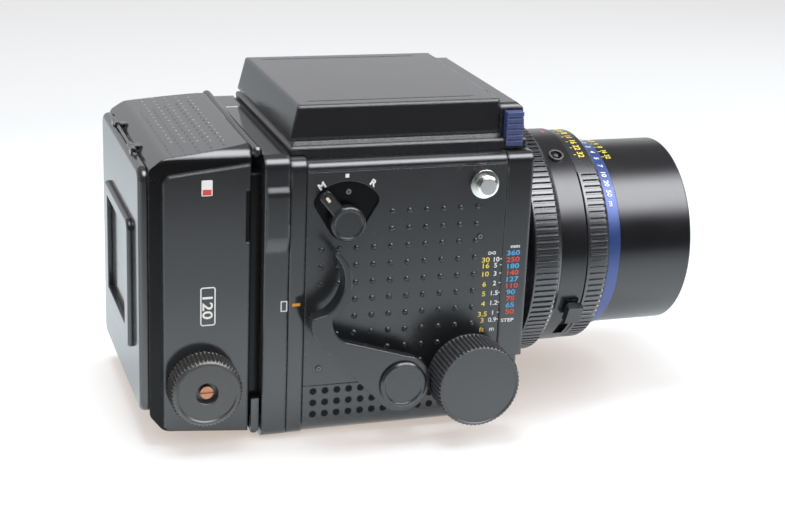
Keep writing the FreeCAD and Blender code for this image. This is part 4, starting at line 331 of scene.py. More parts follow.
def edgeGroup(look):
    # rounded edge normals, and a mask that is 1 where the surface turns a corner and the noise lets it rub
    group, start, end = newGroup(
        "rubbedEdges",
        [("Place", "vector", None), ("Radius", "value", 0.0004), ("Patchiness", "value", 0.6)],
        [("Normal", "vector"), ("Rubbed", "value")],
    )
    rounded = addNode(group, "Bevel", samples=look["samples"])
    feed(group, start.outputs["Radius"], rounded.inputs[0])
    turn = addNode(group, "VectorMath", operation="DOT_PRODUCT")
    feed(group, rounded.outputs[0], turn.inputs[0])
    feed(group, addNode(group, "NewGeometry").outputs["Normal"], turn.inputs[1])
    corner = ramp(group, turn.outputs["Value"], *look["cornerStep"], 0.0, 1.0, "LINEAR")
    low = maths(group, "MULTIPLY", start.outputs["Patchiness"], look["low"])
    rub = noise(group, start.outputs["Place"], *look["noise"])
    rub = ramp(group, rub, low, look["high"], 0.0, 1.0, "LINEAR")
    feed(group, rounded.outputs[0], end.inputs["Normal"])
    feed(group, maths(group, "MULTIPLY", corner, rub), end.inputs["Rubbed"])
    return group


def dustGroup(look):
    # fine pale specks and a faint film, thicker on what faces up
    group, start, end = newGroup(
        "settledDust", [("Place", "vector", None), ("Amount", "value", 0.2)], [("Dust", "value")],
    )
    place = start.outputs["Place"]
    specks = addNode(group, "TexVoronoi", in2=look["specks"])
    feed(group, place, specks.inputs["Vector"])
    dot = ramp(group, specks.outputs["Distance"], *look["speckStep"], 0.0, 1.0, "LINEAR")
    few = ramp(group, noise(group, place, *look["noise"]), *look["noiseStep"], 0.0, 1.0, "LINEAR")
    normal = addNode(group, "NewGeometry").outputs["Normal"]
    up = ramp(group, alongAxis(group, normal, (0, 0, 1)), *look["facingStep"], look["side"], 1.0, "LINEAR")
    spots = maths(group, "MULTIPLY", maths(group, "MULTIPLY", dot, few), up)
    total = maths(group, "ADD", maths(group, "MULTIPLY", up, look["film"]), spots)
    feed(group, maths(group, "MULTIPLY", total, start.outputs["Amount"]), end.inputs["Dust"])
    return group


groups = {"grain": grainGroup(grainLook), "edges": edgeGroup(edgeLook), "dust": dustGroup(dustLook)}


def addGroup(tree, group, place, **values):
    node = tree.nodes.new("ShaderNodeGroup")
    node.node_tree = group
    feed(tree, place, node.inputs["Place"])
    for key, value in values.items():
        node.inputs[key.replace("_", " ")].default_value = value
    return node


def startFinish(name):
    material = bpy.data.materials.new(name)
    tree = nodeTree(material)
    return material, tree, addNode(tree, "TexCoord").outputs["Object"], addNode(tree, "BsdfPrincipled")


# what a finish doesn't say for itself; the depth of the painted shade, where a finish has it, is a distance
# from the middle plane inside which faces across y are painted dark as shade
coatDefaults = {
    "edge": 0.0004, "patchiness": 0.6, "wear": 0.35, "under": (0.20, 0.20, 0.21), "dust": 0.2, "relief": 0.25,
    "depth": 0.00006, "metal": 0.0, "ior": 1.5, "darker": 0.82, "lighter": 1.2, "smoother": 0.86,
    "rougher": 1.18, "dustColour": (0.42, 0.40, 0.37), "dustRough": 0.5, "sunkColour": (0.004, 0.004, 0.005),
    "shine": 0.5, "sunkShine": -0.4, "sunkFacing": 0.9,
}


def coatedFinish(name, look):
    # paint, plastic or anodised metal: a mottled colour, grain in the normal, rubbed edges and dust
    look = {**coatDefaults, **look}
    material, tree, place, shader = startFinish(name)
    grain = addGroup(tree, groups["grain"], place, Pebble_Size=look["pebble"])
    edges = addGroup(tree, groups["edges"], place, Radius=look["edge"], Patchiness=look["patchiness"])
    dust = addGroup(tree, groups["dust"], place, Amount=look["dust"])
    colour = np.array(look["colour"])
    painted = blended(tree, grain.outputs["Mottle"], colour * look["darker"], colour * look["lighter"])
    if "sunk" in look:
        # painted shade: a face across y that lies nearer the middle than that depth, in a recess, is painted
        # near black and given little shine, as the shade there
        normal = addNode(tree, "NewGeometry").outputs["True Normal"]
        facing = maths(tree, "ABSOLUTE", alongAxis(tree, normal, (0, 1, 0)))
        shadedRecess = maths(tree, "ABSOLUTE", alongAxis(tree, place, (0, 1, 0)))
        shadedRecess = maths(tree, "LESS_THAN", shadedRecess, look["sunk"])
        shadedRecess = maths(tree, "MULTIPLY", shadedRecess, maths(tree, "GREATER_THAN", facing, look["sunkFacing"]))
        shine = maths(tree, "MULTIPLY_ADD", shadedRecess, look["sunkShine"], look["shine"])
        feed(tree, shine, shader.inputs["Specular IOR Level"])
        painted = blended(tree, shadedRecess, painted, look["sunkColour"])
    rubbed = maths(tree, "MULTIPLY", edges.outputs["Rubbed"], look["wear"])
    worn = blended(tree, rubbed, painted, look["under"])
    dusty = blended(tree, dust.outputs["Dust"], worn, look["dustColour"])
    feed(tree, dusty, shader.inputs["Base Color"])
    low, high = look["rough"] * look["smoother"], min(1.0, look["rough"] * look["rougher"])
    rough = ramp(tree, grain.outputs["Mottle"], 0.25, 0.75, low, high, "LINEAR")
    rough = maths(tree, "ADD", rough, maths(tree, "MULTIPLY", dust.outputs["Dust"], look["dustRough"]))
    feed(tree, rough, shader.inputs["Roughness"])
    bump = addNode(tree, "Bump")
    bump.inputs["Strength"].default_value = look["relief"]
    bump.inputs["Distance"].default_value = look["depth"]
    feed(tree, grain.outputs["Height"], bump.inputs["Height"])
    feed(tree, edges.outputs["Normal"], bump.inputs["Normal"])
    feed(tree, bump.outputs[0], shader.inputs["Normal"])
    shader.inputs["Metallic"].default_value = look["metal"]
    shader.inputs["IOR"].default_value = look["ior"]
    output(tree, "Material", shader)
    return material


finishLooks = {
    "bodyBlack": {
        "colour": (0.016, 0.017, 0.019), "rough": 0.11, "pebble": 0.0006, "ior": 1.55, "edge": 0.0016,
        "wear": 0.20, "dust": 0.25, "relief": 0.10,
    },
    # faces of the side panels that lie inside the recesses, such as the fan's floor, get painted shade
    "panelBlack": {
        "colour": (0.019, 0.020, 0.022), "rough": 0.25, "pebble": 0.0004, "ior": 1.55, "wear": 0.15,
        "dust": 0.15, "sunk": 0.0528,
    },
    "baseBlack": {
        "colour": (0.019, 0.020, 0.022), "rough": 0.26, "pebble": 0.0004, "ior": 1.55, "wear": 0.15,
        "dust": 0.25,
    },
    "adapterBlack": {
        "colour": (0.018, 0.019, 0.021), "rough": 0.09, "pebble": 0.0006, "ior": 1.55, "edge": 0.0016,
        "wear": 0.25, "dust": 0.35, "relief": 0.10,
    },
    # the recessed band round the raised side plate of the film back gets painted shade
    "backBlack": {
        "colour": (0.022, 0.023, 0.026), "rough": 0.12, "pebble": 0.0005, "ior": 1.55, "edge": 0.0014,
        "wear": 0.2, "dust": 0.55, "relief": 0.10, "sunk": 0.0482,
    },
    "coverBlack": {
        "colour": (0.022, 0.023, 0.026), "rough": 0.11, "pebble": 0.0005, "ior": 1.6, "edge": 0.0010,
        "wear": 0.2, "dust": 0.4, "relief": 0.06,
    },
    "lidBlack": {
        "colour": (0.015, 0.015, 0.017), "rough": 0.14, "pebble": 0.0007, "ior": 1.55, "edge": 0.0020,
        "dust": 0.35, "relief": 0.14,
    },
    "hoodBlack": {
        "colour": (0.016, 0.016, 0.018), "rough": 0.55, "pebble": 0.0003, "edge": 0.0002, "metal": 0.2,
    },
    "innerBlack": {"colour": (0.008, 0.008, 0.009), "rough": 0.85, "pebble": 0.0003, "edge": 0.0003},
    "knobBlack": {
        "colour": (0.034, 0.035, 0.038), "rough": 0.42, "pebble": 0.00025, "ior": 1.55, "edge": 0.0003,
        "wear": 0.45, "dust": 0.3,
    },
    "advanceBlack": {
        "colour": (0.028, 0.027, 0.026), "rough": 0.34, "pebble": 0.0004, "ior": 1.55, "edge": 0.0003,
        "wear": 0.5, "dust": 0.9, "under": (0.22, 0.19, 0.15),
    },
    "ringBlack": {
        "colour": (0.018, 0.019, 0.022), "rough": 0.24, "pebble": 0.00025, "ior": 1.65, "edge": 0.00025,
        "wear": 0.25,
    },
    "lensBlack": {
        "colour": (0.010, 0.010, 0.012), "rough": 0.22, "pebble": 0.00018, "ior": 1.49, "edge": 0.0003,
        "wear": 0.25, "relief": 0.10, "dust": 0.08,
    },
    "leverBlack": {
        "colour": (0.020, 0.021, 0.023), "rough": 0.15, "pebble": 0.0003, "edge": 0.0010, "wear": 0.55,
        "dust": 0.15, "relief": 0.15,
    },
    "ringBlue": {
        "colour": (0.028, 0.058, 0.215), "rough": 0.34, "pebble": 0.0002, "edge": 0.0002, "metal": 0.2,
        "under": (0.3, 0.34, 0.45),
    },
    # nearly every edge of the catch's ribs wears pale: wear, and a painted highlight along the ribs
    "catchBlue": {
        "colour": (0.045, 0.065, 0.20), "rough": 0.40, "pebble": 0.0003, "edge": 0.0003,
        "under": (0.50, 0.54, 0.66), "wear": 0.95, "patchiness": 0.2,
    },
    "shellSteel": {
        "colour": (0.74, 0.73, 0.71), "rough": 0.22, "pebble": 0.0002, "edge": 0.0003, "metal": 1.0,
        "under": (0.75, 0.75, 0.74), "relief": 0.1,
    },
    "screwDark": {
        "colour": (0.030, 0.030, 0.032), "rough": 0.35, "pebble": 0.0002, "edge": 0.0002, "metal": 0.7,
        "under": (0.4, 0.4, 0.4), "wear": 0.5,
    },
    "nickelDark": {
        "colour": (0.22, 0.21, 0.20), "rough": 0.34, "pebble": 0.0002, "edge": 0.0002, "metal": 1.0,
        "under": (0.5, 0.5, 0.49), "wear": 0.6,
    },
    "copper": {
        "colour": (0.34, 0.16, 0.09), "rough": 0.42, "pebble": 0.0003, "edge": 0.0003, "metal": 0.85,
        "under": (0.55, 0.33, 0.22), "wear": 0.6, "dust": 0.6,
    },
    "clothBlack": {
        "colour": (0.014, 0.014, 0.015), "rough": 0.80, "pebble": 0.0004, "edge": 0.0001, "relief": 0.5,
        "depth": 0.0001,
    },
    "shellSteelMirror": {
        "colour": (0.86, 0.87, 0.88), "rough": 0.04, "pebble": 0.002, "metal": 1.0, "relief": 0.01,
        "edge": 0.0001, "dust": 0.3,
    },
}
finishes = {name: coatedFinish(name, look) for name, look in finishLooks.items()}


glassLook = {"rough": 0.02, "ior": 1.52, "dust": 0.15, "dustColour": (0.6, 0.6, 0.6), "dustRough": 0.4}
inkLook = {
    "speck": (2600.0, 3.0, 0.65), "darker": 0.85, "lighter": 1.12, "rough": (0.42, 0.60),
    # the painted shade ink hardly shines
    "shine": {"inkShadow": 0.12},
}


def glassFinish(name, tint, coating, look):
    # clear glass whose coating tints what it reflects
    material, tree, place, shader = startFinish(name)
    dust = addGroup(tree, groups["dust"], place, Amount=look["dust"]).outputs["Dust"]
    feed(tree, blended(tree, dust, tint, look["dustColour"]), shader.inputs["Base Color"])
    rough = maths(tree, "MULTIPLY_ADD", dust, look["dustRough"], look["rough"])
    feed(tree, rough, shader.inputs["Roughness"])
    shader.inputs["Transmission Weight"].default_value = 1.0
    shader.inputs["IOR"].default_value = look["ior"]
    shader.inputs["Specular Tint"].default_value = (*coating, 1)
    output(tree, "Material", shader)
    return material


def inkFinish(name, colour, look):
    # filled paint of a mark, slightly uneven and a little dirty; the shadow ink is painted shade and the
    # glint ink a painted highlight
    material, tree, place, shader = startFinish(name)
    speck = noise(tree, place, *look["speck"])
    colour = np.array(colour)
    tone = blended(tree, speck, colour * look["darker"], np.minimum(colour * look["lighter"], 1))
    feed(tree, tone, shader.inputs["Base Color"])
    feed(tree, ramp(tree, speck, 0.3, 0.7, *look["rough"], "LINEAR"), shader.inputs["Roughness"])
    shader.inputs["Specular IOR Level"].default_value = look["shine"].get(name, 0.5)
    output(tree, "Material", shader)
    return material


finishes["clearGlass"] = glassFinish("clearGlass", (0.97, 0.98, 0.99), (1, 1, 1), glassLook)
finishes["coatedGlass"] = glassFinish("coatedGlass", (0.90, 0.93, 0.97), (0.75, 0.62, 1.0), glassLook)
# the shadow ink is painted shade in hollows, and the glint ink a painted highlight on small raised points and
# round screw heads
inkColours = {
    "inkWhite": (0.96, 0.96, 0.94), "inkYellow": (0.92, 0.72, 0.10), "inkOrange": (0.85, 0.33, 0.03),
    "inkRed": (0.72, 0.07, 0.06), "inkBlue": (0.08, 0.42, 0.78), "inkCream": (0.78, 0.70, 0.50),
    "inkShadow": (0.003, 0.003, 0.003), "inkGlint": (0.30, 0.30, 0.31),
}
for name, colour in inkColours.items():
    finishes[name] = inkFinish(name, colour, inkLook)

wearsFinish = {
    "bodyBlack": ["body_housing", "top_cover", "front_standard"],
    "baseBlack": ["base_cover"],
    "panelBlack": ["right_side_panel", "left_side_panel"],
    "adapterBlack": ["index_ring", "revolving_adapter", "battery_cover"],
    "backBlack": ["film_back_casing"],
    "coverBlack": ["rear_cover", "memo_holder"],
    "lidBlack": ["finder_housing", "finder_lid"],
    "hoodBlack": [
        "hood_flap_left", "hood_flap_right", "hood_flap_rear", "magnifier_frame", "dark_slide",
        "bellows_frame",
    ],
    "innerBlack": ["film_insert", "mirror_frame", "lens_inner_tube", "take_up_spool", "supply_spool"],
    "knobBlack": ["focus_knob_left", "focus_knob_right", "shutter_speed_dial", "release_collar"],
    "advanceBlack": ["film_advance_knob"],
    "ringBlack": [
        "lens_lock_ring", "aperture_ring", "accessory_shoe", "upper_slide_lock", "lower_slide_lock",
    ],
    "lensBlack": ["lens_base_barrel", "front_barrel", "preview_lever"],
    "leverBlack": [
        "cocking_lever", "cocking_lever_hub", "mode_lever", "focus_lock_lever", "shutter_release_button",
    ],
    "ringBlue": ["floating_ring"],
    "catchBlue": ["finder_release_left", "finder_release_right"],
    "shellSteel": ["strap_lugs", "tripod_plate", "focus_shaft", "focus_rails", "battery", "hood_hinge_pins"],
    "nickelDark": ["sync_socket"],
    "screwDark": ["panel_screws"],
    "copper": ["advance_knob_screw"],
    "clothBlack": ["bellows"],
    "coatedGlass": ["lens_elements"],
    "clearGlass": ["magnifier_lens", "focusing_screen"],
    "shellSteelMirror": ["reflex_mirror"],
}
for finish, names in wearsFinish.items():
    for name in names:
        mesh = nodes[name].data
        mesh.materials.clear()
        mesh.materials.append(finishes[finish])
left = [name for name in nodes if not any(name in names for names in wearsFinish.values())]
print("finishes on", len(nodes) - len(left), "parts; left:", left)


axisZ = 61.3  # the height of the lens axis in mm


def gridFaces(rows, columns, closeRows=False, closeColumns=False):
    # the quads of a rows by columns grid; a closed direction joins its last line to its first
    r = np.arange(rows if closeRows else rows - 1)
    c = np.arange(columns if closeColumns else columns - 1)
    r, c = np.meshgrid(r, c, indexing="ij")
    up, over = (r + 1) % rows, (c + 1) % columns
    quads = np.stack([r * columns + c, up * columns + c, up * columns + over, r * columns + over], axis=-1)
    return quads.reshape(-1, 4)


def addPiece(name, points, faces, body, finish, sharp):
    # points in millimetres; doubles are merged, normals face out, and creases over `sharp` degrees stay sharp
    mesh = bpy.data.meshes.new(name)
    mesh.from_pydata(np.asarray(points).reshape(-1, 3) * mm, [], np.asarray(faces).tolist())
    work = bmesh.new()
    work.from_mesh(mesh)
    bmesh.ops.remove_doubles(work, verts=work.verts, dist=2e-6)
    bmesh.ops.recalc_face_normals(work, faces=work.faces)
    work.to_mesh(mesh)
    work.free()
    mesh.polygons.foreach_set("use_smooth", np.ones(len(mesh.polygons), bool))
    mesh.set_sharp_from_angle(angle=math.radians(sharp))
    mesh.materials.append(finishes[finish])
    piece = addObject(name, mesh)
    if body:
        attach(piece, body)
    return piece


def addTube(name, points, body, finish, sharp):
    # points in rows and columns that both close on themselves
    faces = gridFaces(*points.shape[:2], closeRows=True, closeColumns=True)
    return addPiece(name, points, faces, body, finish, sharp)


def grooveWave(turn, look):
    # 0 on a ridge's flat top, 1 in the groove between two, along a turn of 2 pi
    phase = np.abs((turn * look["ridges"] / (2 * math.pi)) % 1.0 - 0.5) * 2
    return 1 - np.clip((1 - phase - (1 - look["flat"])) / look["soft"] + 0.5, 0, 1)


def turnedAboutX(profile, turn, radiusShift=0.0):
    # profile rows are (x, radius); a point is (x, -radius cos turn, axisZ + radius sin turn)
    x = profile[:, 0][:, None] + 0 * turn[None, :]
    radius = profile[:, 1][:, None] + radiusShift
    return np.stack([x, -radius * np.cos(turn), axisZ + radius * np.sin(turn)], axis=-1)


def turnedAboutY(profile, turn, centre, radiusShift):
    # profile rows are (y, radius); a point is (cx + radius cos turn, y, cz + radius sin turn)
    y = profile[:, 0][:, None] + 0 * turn[None, :]
    radius = profile[:, 1][:, None] + radiusShift
    return np.stack([centre[0] + radius * np.cos(turn), y, centre[1] + radius * np.sin(turn)], axis=-1)


ridgeSteps = 8  # points along each ridge and its groove
lockRing = {"ridges": 116, "depth": 0.9, "flat": 0.62, "soft": 0.2}


def makeLockRing(look):
    # a closed profile turned about the lens axis, its outer rows lowered by depth times the groove wave
    turn = np.linspace(0, 2 * math.pi, look["ridges"] * ridgeSteps, endpoint=False)
    profile = np.array([
        (61.3, 44.05), (61.3, 49.0), (61.6, 49.4), (61.9, 49.5), (62.3, 49.5), (62.9, 49.5), (66.0, 49.5),
        (71.4, 49.5), (71.9, 49.4), (72.3, 49.1), (72.5, 48.5), (73.6, 46.8), (73.9, 46.6), (74.6, 46.4),
        (74.6, 44.05),
    ])
    cutRow = np.array([0, 0, 0, 0, 0, 1, 1, 1, 0.9, 0.55, 0, 0, 0, 0, 0.0])
    groove = grooveWave(turn, look)
    points = turnedAboutX(profile, turn, -look["depth"] * cutRow[:, None] * groove[None, :])
    piece = addTube("lockRingRidged", points, "lock_ring", "ringBlack", sharp=28)
    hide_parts("lens_lock_ring")


apertureRing = {"ridges": 102, "depth": 0.8, "flat": 0.6, "soft": 0.2, "gripFrom": -228.0, "gripTo": 52.0}


def makeApertureRing(look):
    # the grip rows rise and fall with the wave over the grip's arc; outside it they lie flat and lower
    turn = np.linspace(0, 2 * math.pi, look["ridges"] * ridgeSteps, endpoint=False)
    degrees = np.degrees(turn)
    onGrip = ((degrees - look["gripFrom"]) % 360) < (look["gripTo"] - look["gripFrom"])
    profile = np.array([
        (86.6, 38.15), (86.6, 45.3), (86.8, 45.7), (87.3, 45.8), (87.9, 45.8), (88.4, 45.8), (91.5, 45.8),
        (94.6, 45.8), (95.3, 45.7), (96.4, 44.5), (97.3, 43.2), (97.7, 42.6), (97.7, 38.15),
    ])
    cutRow = np.array([0, 0, 0, 0, 0, 1, 1, 1, 0.9, 0.5, 0, 0, 0.0])
    lowRow = np.array([0, 0.2, 0.5, 0.55, 0.6, 0.6, 0.6, 0.6, 0.5, 0.3, 0.1, 0, 0.0])
    groove = grooveWave(turn, look) * onGrip
    drop = look["depth"] * cutRow[:, None] * groove[None, :] + lowRow[:, None] * (1 - onGrip)[None, :]
    points = turnedAboutX(profile, turn, -drop)
    piece = addTube("apertureRingRidged", points, "aperture_control", "ringBlack", sharp=28)
    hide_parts("aperture_ring")


makeLockRing(lockRing)
makeApertureRing(apertureRing)

filterThread = {
    "turns": 7, "outer": 38.5, "depth": 0.42, "from": 131.6, "to": 136.6, "steps": 160, "rowsPerTurn": 6,
    "innerGap": 0.02, "outerGap": 0.01,
}


def makeFilterThread(look):
    # round crests side by side down the bore: radius = outer - gap - depth * |sin|, over a thin closed shell
    turn = np.linspace(0, 2 * math.pi, look["steps"], endpoint=False)
    along = np.linspace(0, 1, look["turns"] * look["rowsPerTurn"] + 1)
    crest = look["outer"] - look["innerGap"] - look["depth"] * np.abs(np.sin(along * look["turns"] * math.pi))
    x = look["from"] + along * (look["to"] - look["from"])
    inner = np.stack([x, crest], axis=-1)
    shell = look["outer"] - look["outerGap"]
    outer = np.array([(look["to"], shell), (look["from"], shell)])
    profile = np.concatenate([inner, outer])
    points = turnedAboutX(profile, turn)
    addTube("filterThreadCrests", points, "front_group", "lensBlack", sharp=40)


makeFilterThread(filterThread)
print("lens rings made")


focusKnob = {"centre": (30.3, 25.0), "radius": 17.0, "ridges": 60, "depth": 0.75, "flat": 0.5, "soft": 0.3}


def makeFocusKnob(name, node, side, look):
    # a closed profile turned about the shaft;
    # rows are (distance from the middle, radius, share of the ridges)
    radius = look["radius"]
    turn = np.linspace(0, 2 * math.pi, look["ridges"] * ridgeSteps, endpoint=False)
    rows = [
        (58.3, 6.6, 0), (58.3, 10.5, 0), (60.2, 11.0, 0), (60.3, 16.4, 0), (60.6, 16.9, 0),
        (61.0, radius, 0.3), (61.5, radius, 1), (67.0, radius, 1), (73.8, radius, 1),
        (74.4, radius - 0.1, 0.8), (74.8, radius - 0.4, 0.3), (75.0, radius - 0.75, 0),
        (75.0, radius - 1.2, 0), (74.75, radius - 1.45, 0), (74.6, radius - 1.6, 0),
        (74.6, radius * 0.5, 0), (74.6, 0.0, 0), (61.4, 0.0, 0), (61.4, 6.6, 0),
    ]
    table = np.array(rows)
    profile = table[:, :2] * np.array([side, 1])
    drop = look["depth"] * table[:, 2][:, None] * grooveWave(turn, look)[None, :]
    points = turnedAboutY(profile, turn, look["centre"], -drop)
    piece = addTube(name, points, "focus_drive", "knobBlack", sharp=28)
    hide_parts(node)


makeFocusKnob("focusKnobRight", "focus_knob_right", -1, focusKnob)
makeFocusKnob("focusKnobLeft", "focus_knob_left", 1, focusKnob)

advanceKnob = {
    "centre": (-75.4, 25.0), "radius": 14.2, "ridges": 54, "toothSteps": 6, "depth": 0.9, "flat": 0.4,
    "soft": 0.5,
}


def makeAdvanceKnob(look):
    # stem, toothed rim, and a dished face with a fine ring groove around the screw well;
    # rows are (y, radius, share of the teeth)
    radius = look["radius"]
    turn = np.linspace(0, 2 * math.pi, look["ridges"] * look["toothSteps"], endpoint=False)
    rows = [
        (-29.6, 0.0, 0), (-29.6, 3.9, 0), (-49.4, 3.9, 0), (-49.4, radius - 0.6, 0), (-49.7, radius, 0.5),
        (-50.2, radius, 1), (-54.0, radius, 1), (-57.6, radius, 1), (-58.2, radius - 0.3, 0.7),
        (-58.6, radius - 0.9, 0.1), (-59.2, radius - 1.5, 0), (-59.4, radius - 1.9, 0),
        (-59.4, radius - 2.4, 0), (-59.1, radius - 2.7, 0), (-58.9, radius - 3.0, 0), (-58.9, 8.0, 0),
        (-58.9, 4.7, 0), (-58.7, 4.35, 0), (-56.05, 4.2, 0), (-56.05, 0.0, 0),
    ]
    table = np.array(rows)
    drop = look["depth"] * table[:, 2][:, None] * grooveWave(turn, look)[None, :]
    points = turnedAboutY(table[:, :2], turn, look["centre"], -drop)
    piece = addTube("advanceKnobToothed", points, "film_advance", "advanceBlack", sharp=28)
    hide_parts("film_advance_knob")


makeAdvanceKnob(advanceKnob)
print("knobs made")


bellowsLook = {
    "rear": 33.0, "front": 45.3, "endGap": 0.05, "folds": 9, "foldSteps": 4, "half": 30.85, "depth": 6.0,
    "sides": 96, "squareness": 14.0, "cloth": 0.35, "blendFrom": 0.0331, "blendTo": 0.0452,
}


def makeBellows(look):
    # a tube whose half width goes in and out once a fold; round it at angle a a point stands at
    # half * (|cos a| ^ squareness + |sin a| ^ squareness) ^ (-1 / squareness), a square with rounded corners
    folds = look["folds"]
    along = np.linspace(0, 1, folds * look["foldSteps"] + 1)
    zigzag = 1 - np.abs((along * folds) % 1.0 - 0.5) * 2
    half = look["half"] - look["depth"] * zigzag
    angle = np.linspace(0, 2 * math.pi, look["sides"], endpoint=False) + math.pi / 4
    power = look["squareness"]
    reach = (np.abs(np.cos(angle)) ** power + np.abs(np.sin(angle)) ** power) ** (-1 / power)
    ring = np.stack([np.cos(angle) * reach, np.sin(angle) * reach], axis=-1)
    x = look["rear"] + look["endGap"] + along * (look["front"] - look["rear"] - 2 * look["endGap"])
    outer = np.stack([
        x[:, None] + 0 * angle[None, :], half[:, None] * ring[None, :, 0],
        axisZ + half[:, None] * ring[None, :, 1],
    ], axis=-1)
    shrink = 1 - look["cloth"] / half[:, None]
    inner = outer.copy()
    inner[:, :, 1] *= shrink
    inner[:, :, 2] = axisZ + (inner[:, :, 2] - axisZ) * shrink
    points = np.concatenate([outer, inner[::-1]])
    piece = addTube("bellowsPleated", points, None, "clothBlack", sharp=50)
    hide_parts("bellows")
    start, end = (look["blendFrom"], 0, axisZ * mm), (look["blendTo"], 0, axisZ * mm)
    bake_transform(piece)
    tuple(start)
    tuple(end)


makeBellows(bellowsLook)
print("bellows made")


capShare = 0.73  # a capital's height as a share of the font size
cornerPoints = 24  # points round the edge of a patch or an outline


def lettering(words, height, bold, wide=1.0):
    # the built-in font's outline of the words, centred at (0, 0) and widened by a factor;
    # points (u, v, w) with w from 0 to 1, and triangles
    curve = bpy.data.curves.new("words", "FONT")
    curve.body = words
    curve.size = height / capShare
    curve.align_x = "CENTER"
    curve.offset = bold
    curve.extrude = 0.5
    curve.resolution_u = 3
    holder = bpy.data.objects.new("words", curve)
    mesh = bpy.data.meshes.new_from_object(holder)
    mesh.calc_loop_triangles()
    points = np.empty(len(mesh.vertices) * 3)
    mesh.vertices.foreach_get("co", points)
    triangles = np.empty(len(mesh.loop_triangles) * 3, int)
    mesh.loop_triangles.foreach_get("vertices", triangles)
    points = points.reshape(-1, 3)
    points[:, 0] *= wide
    points[:, 1] -= height / 2
    points[:, 2] += 0.5
    bpy.data.objects.remove(holder)
    bpy.data.curves.remove(curve)
    bpy.data.meshes.remove(mesh)
    return points, triangles.reshape(-1, 3)


def patch(width, height, corner=0.0):
    # a filled rectangle with rounded corners, as lettering() gives a word
    turn = np.linspace(0, 2 * math.pi, cornerPoints, endpoint=False) + math.pi / cornerPoints
    u = np.cos(turn) * corner + np.sign(np.cos(turn)) * (width / 2 - corner)
    v = np.sin(turn) * corner + np.sign(np.sin(turn)) * (height / 2 - corner)
    low = np.stack([u, v, 0 * u], axis=-1)
    high = low + np.array([0, 0, 1])
    points = np.concatenate([low, high, [(0, 0, 0), (0, 0, 1)]])
    k = np.arange(cornerPoints)
    n = (k + 1) % cornerPoints
    kHigh, nHigh = k + cornerPoints, n + cornerPoints
    lowMiddle, highMiddle = 0 * k + 2 * cornerPoints, 0 * k + 2 * cornerPoints + 1
    faces = np.concatenate([
        np.stack([k, n, nHigh], axis=-1), np.stack([k, nHigh, kHigh], axis=-1),
        np.stack([n, k, lowMiddle], axis=-1), np.stack([kHigh, nHigh, highMiddle], axis=-1),
    ])
    return points, faces


def band(outer, inner):
    # the closed strip between two loops of (u, v) points, with w from 0 to 1
    low, high = np.zeros(len(outer)), np.ones(len(outer))
    rows = np.stack([np.c_[outer, low], np.c_[outer, high], np.c_[inner, high], np.c_[inner, low]])
    quads = gridFaces(4, len(outer), closeRows=True, closeColumns=True)
    return rows.reshape(-1, 3), np.concatenate([quads[:, [0, 1, 2]], quads[:, [0, 2, 3]]])


def outline(width, height, line, corner):
    # a rectangle's outline of that line width, as lettering() gives a word
    turn = np.linspace(0, 2 * math.pi, cornerPoints, endpoint=False) + math.pi / cornerPoints
    loops = []
    for grow in (0.0, -line):
        bend = max(corner + grow, 0.02)
        u = np.cos(turn) * bend + np.sign(np.cos(turn)) * (width / 2 + grow - bend)
        v = np.sin(turn) * bend + np.sign(np.sin(turn)) * (height / 2 + grow - bend)
        loops.append(np.stack([u, v], axis=-1))
    outer, inner = loops
    return band(outer, inner)


ink = 0.035  # how far a mark stands off what carries it, in mm
inkSink = 0.01  # how far its back is let in, in mm


def onPlane(origin, across, up):
    # lays (u, v, w) on a plane through origin; w goes off it
    origin, across, up = (np.array(v, float) for v in (origin, across, up))
    off = np.cross(across, up)
    return lambda p: origin + p[:, :1] * across + p[:, 1:2] * up + (p[:, 2:] * ink - inkSink) * off


def onBarrel(x, degrees, radius, slope=0.0):
    # lays (u, v, w) on a cylinder about the lens axis, v along x and u downwards towards the right side;
    # the radius changes by slope for each mm of v
    def lay(p):
        out = radius + slope * p[:, 1] + p[:, 2] * ink - inkSink
        turn = math.radians(degrees) - p[:, 0] / radius
        return np.stack([x + p[:, 1], -out * np.cos(turn), axisZ + out * np.sin(turn)], axis=-1)
    return lay


def addMarks(name, marks, body, finish, slot):
    # joins (shape, lay) pairs into one piece
    points, faces, start = [], [], 0
    for (flat, triangles), lay in marks:
        points.append(lay(flat))
        faces.append(triangles + start)
        start += len(flat)
    mesh = bpy.data.meshes.new(name)
    mesh.from_pydata(np.concatenate(points) * mm, [], np.concatenate(faces).tolist())
    mesh.materials.append(finishes[finish])
    piece = addObject(name, mesh)
    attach(piece, body)


sideY = -53.2  # the right side of the body and of the front standard


def onRight(x, z, y=sideY):
    return onPlane((x, y, z), (1, 0, 0), (0, 0, 1))


focusScale = {
    "feet": [
        ("30", 70.1), ("16", 67.6), ("10", 64.1), ("6", 59.8), ("5", 55.7), ("4", 51.4), ("3.5", 47.0),
        ("3", 44.3), ("ft", 40.4),
    ],
    "metres": [
        ("10", 70.1), ("5", 67.6), ("3", 64.1), ("2", 60.0), ("1.5", 55.8), ("1.2", 51.6), ("1", 47.3),
        ("0.9", 44.3), ("m", 40.4),
    ],
    "lenses": [
        ("360", 72.4), ("250", 69.6), ("180", 66.8), ("140", 64.0), ("127", 61.2), ("110", 58.4),
        ("90", 55.7), ("75", 52.9), ("65", 50.1), ("50", 47.3),
    ],
    "feetX": 38.2, "metresX": 42.6, "lensesX": 49.9, "dashX": 44.75, "height": 2.1, "wide": 1.22,
    "bold": 0.05, "metresHeight": 0.95, "metresWide": 1.1, "lensesWide": 1.35, "lensesBold": 0.06,
    "dash": (0.8, 0.3), "infinity": (40.7, 72.8), "heads": [("mm", 50.6, 75.2), ("STEP", 49.1, 43.6)],
    "headHeight": 1.5, "headWide": 1.3,
}
infinityLook = {"points": 48, "size": 1.5, "rise": 0.36, "halfLine": 0.16}


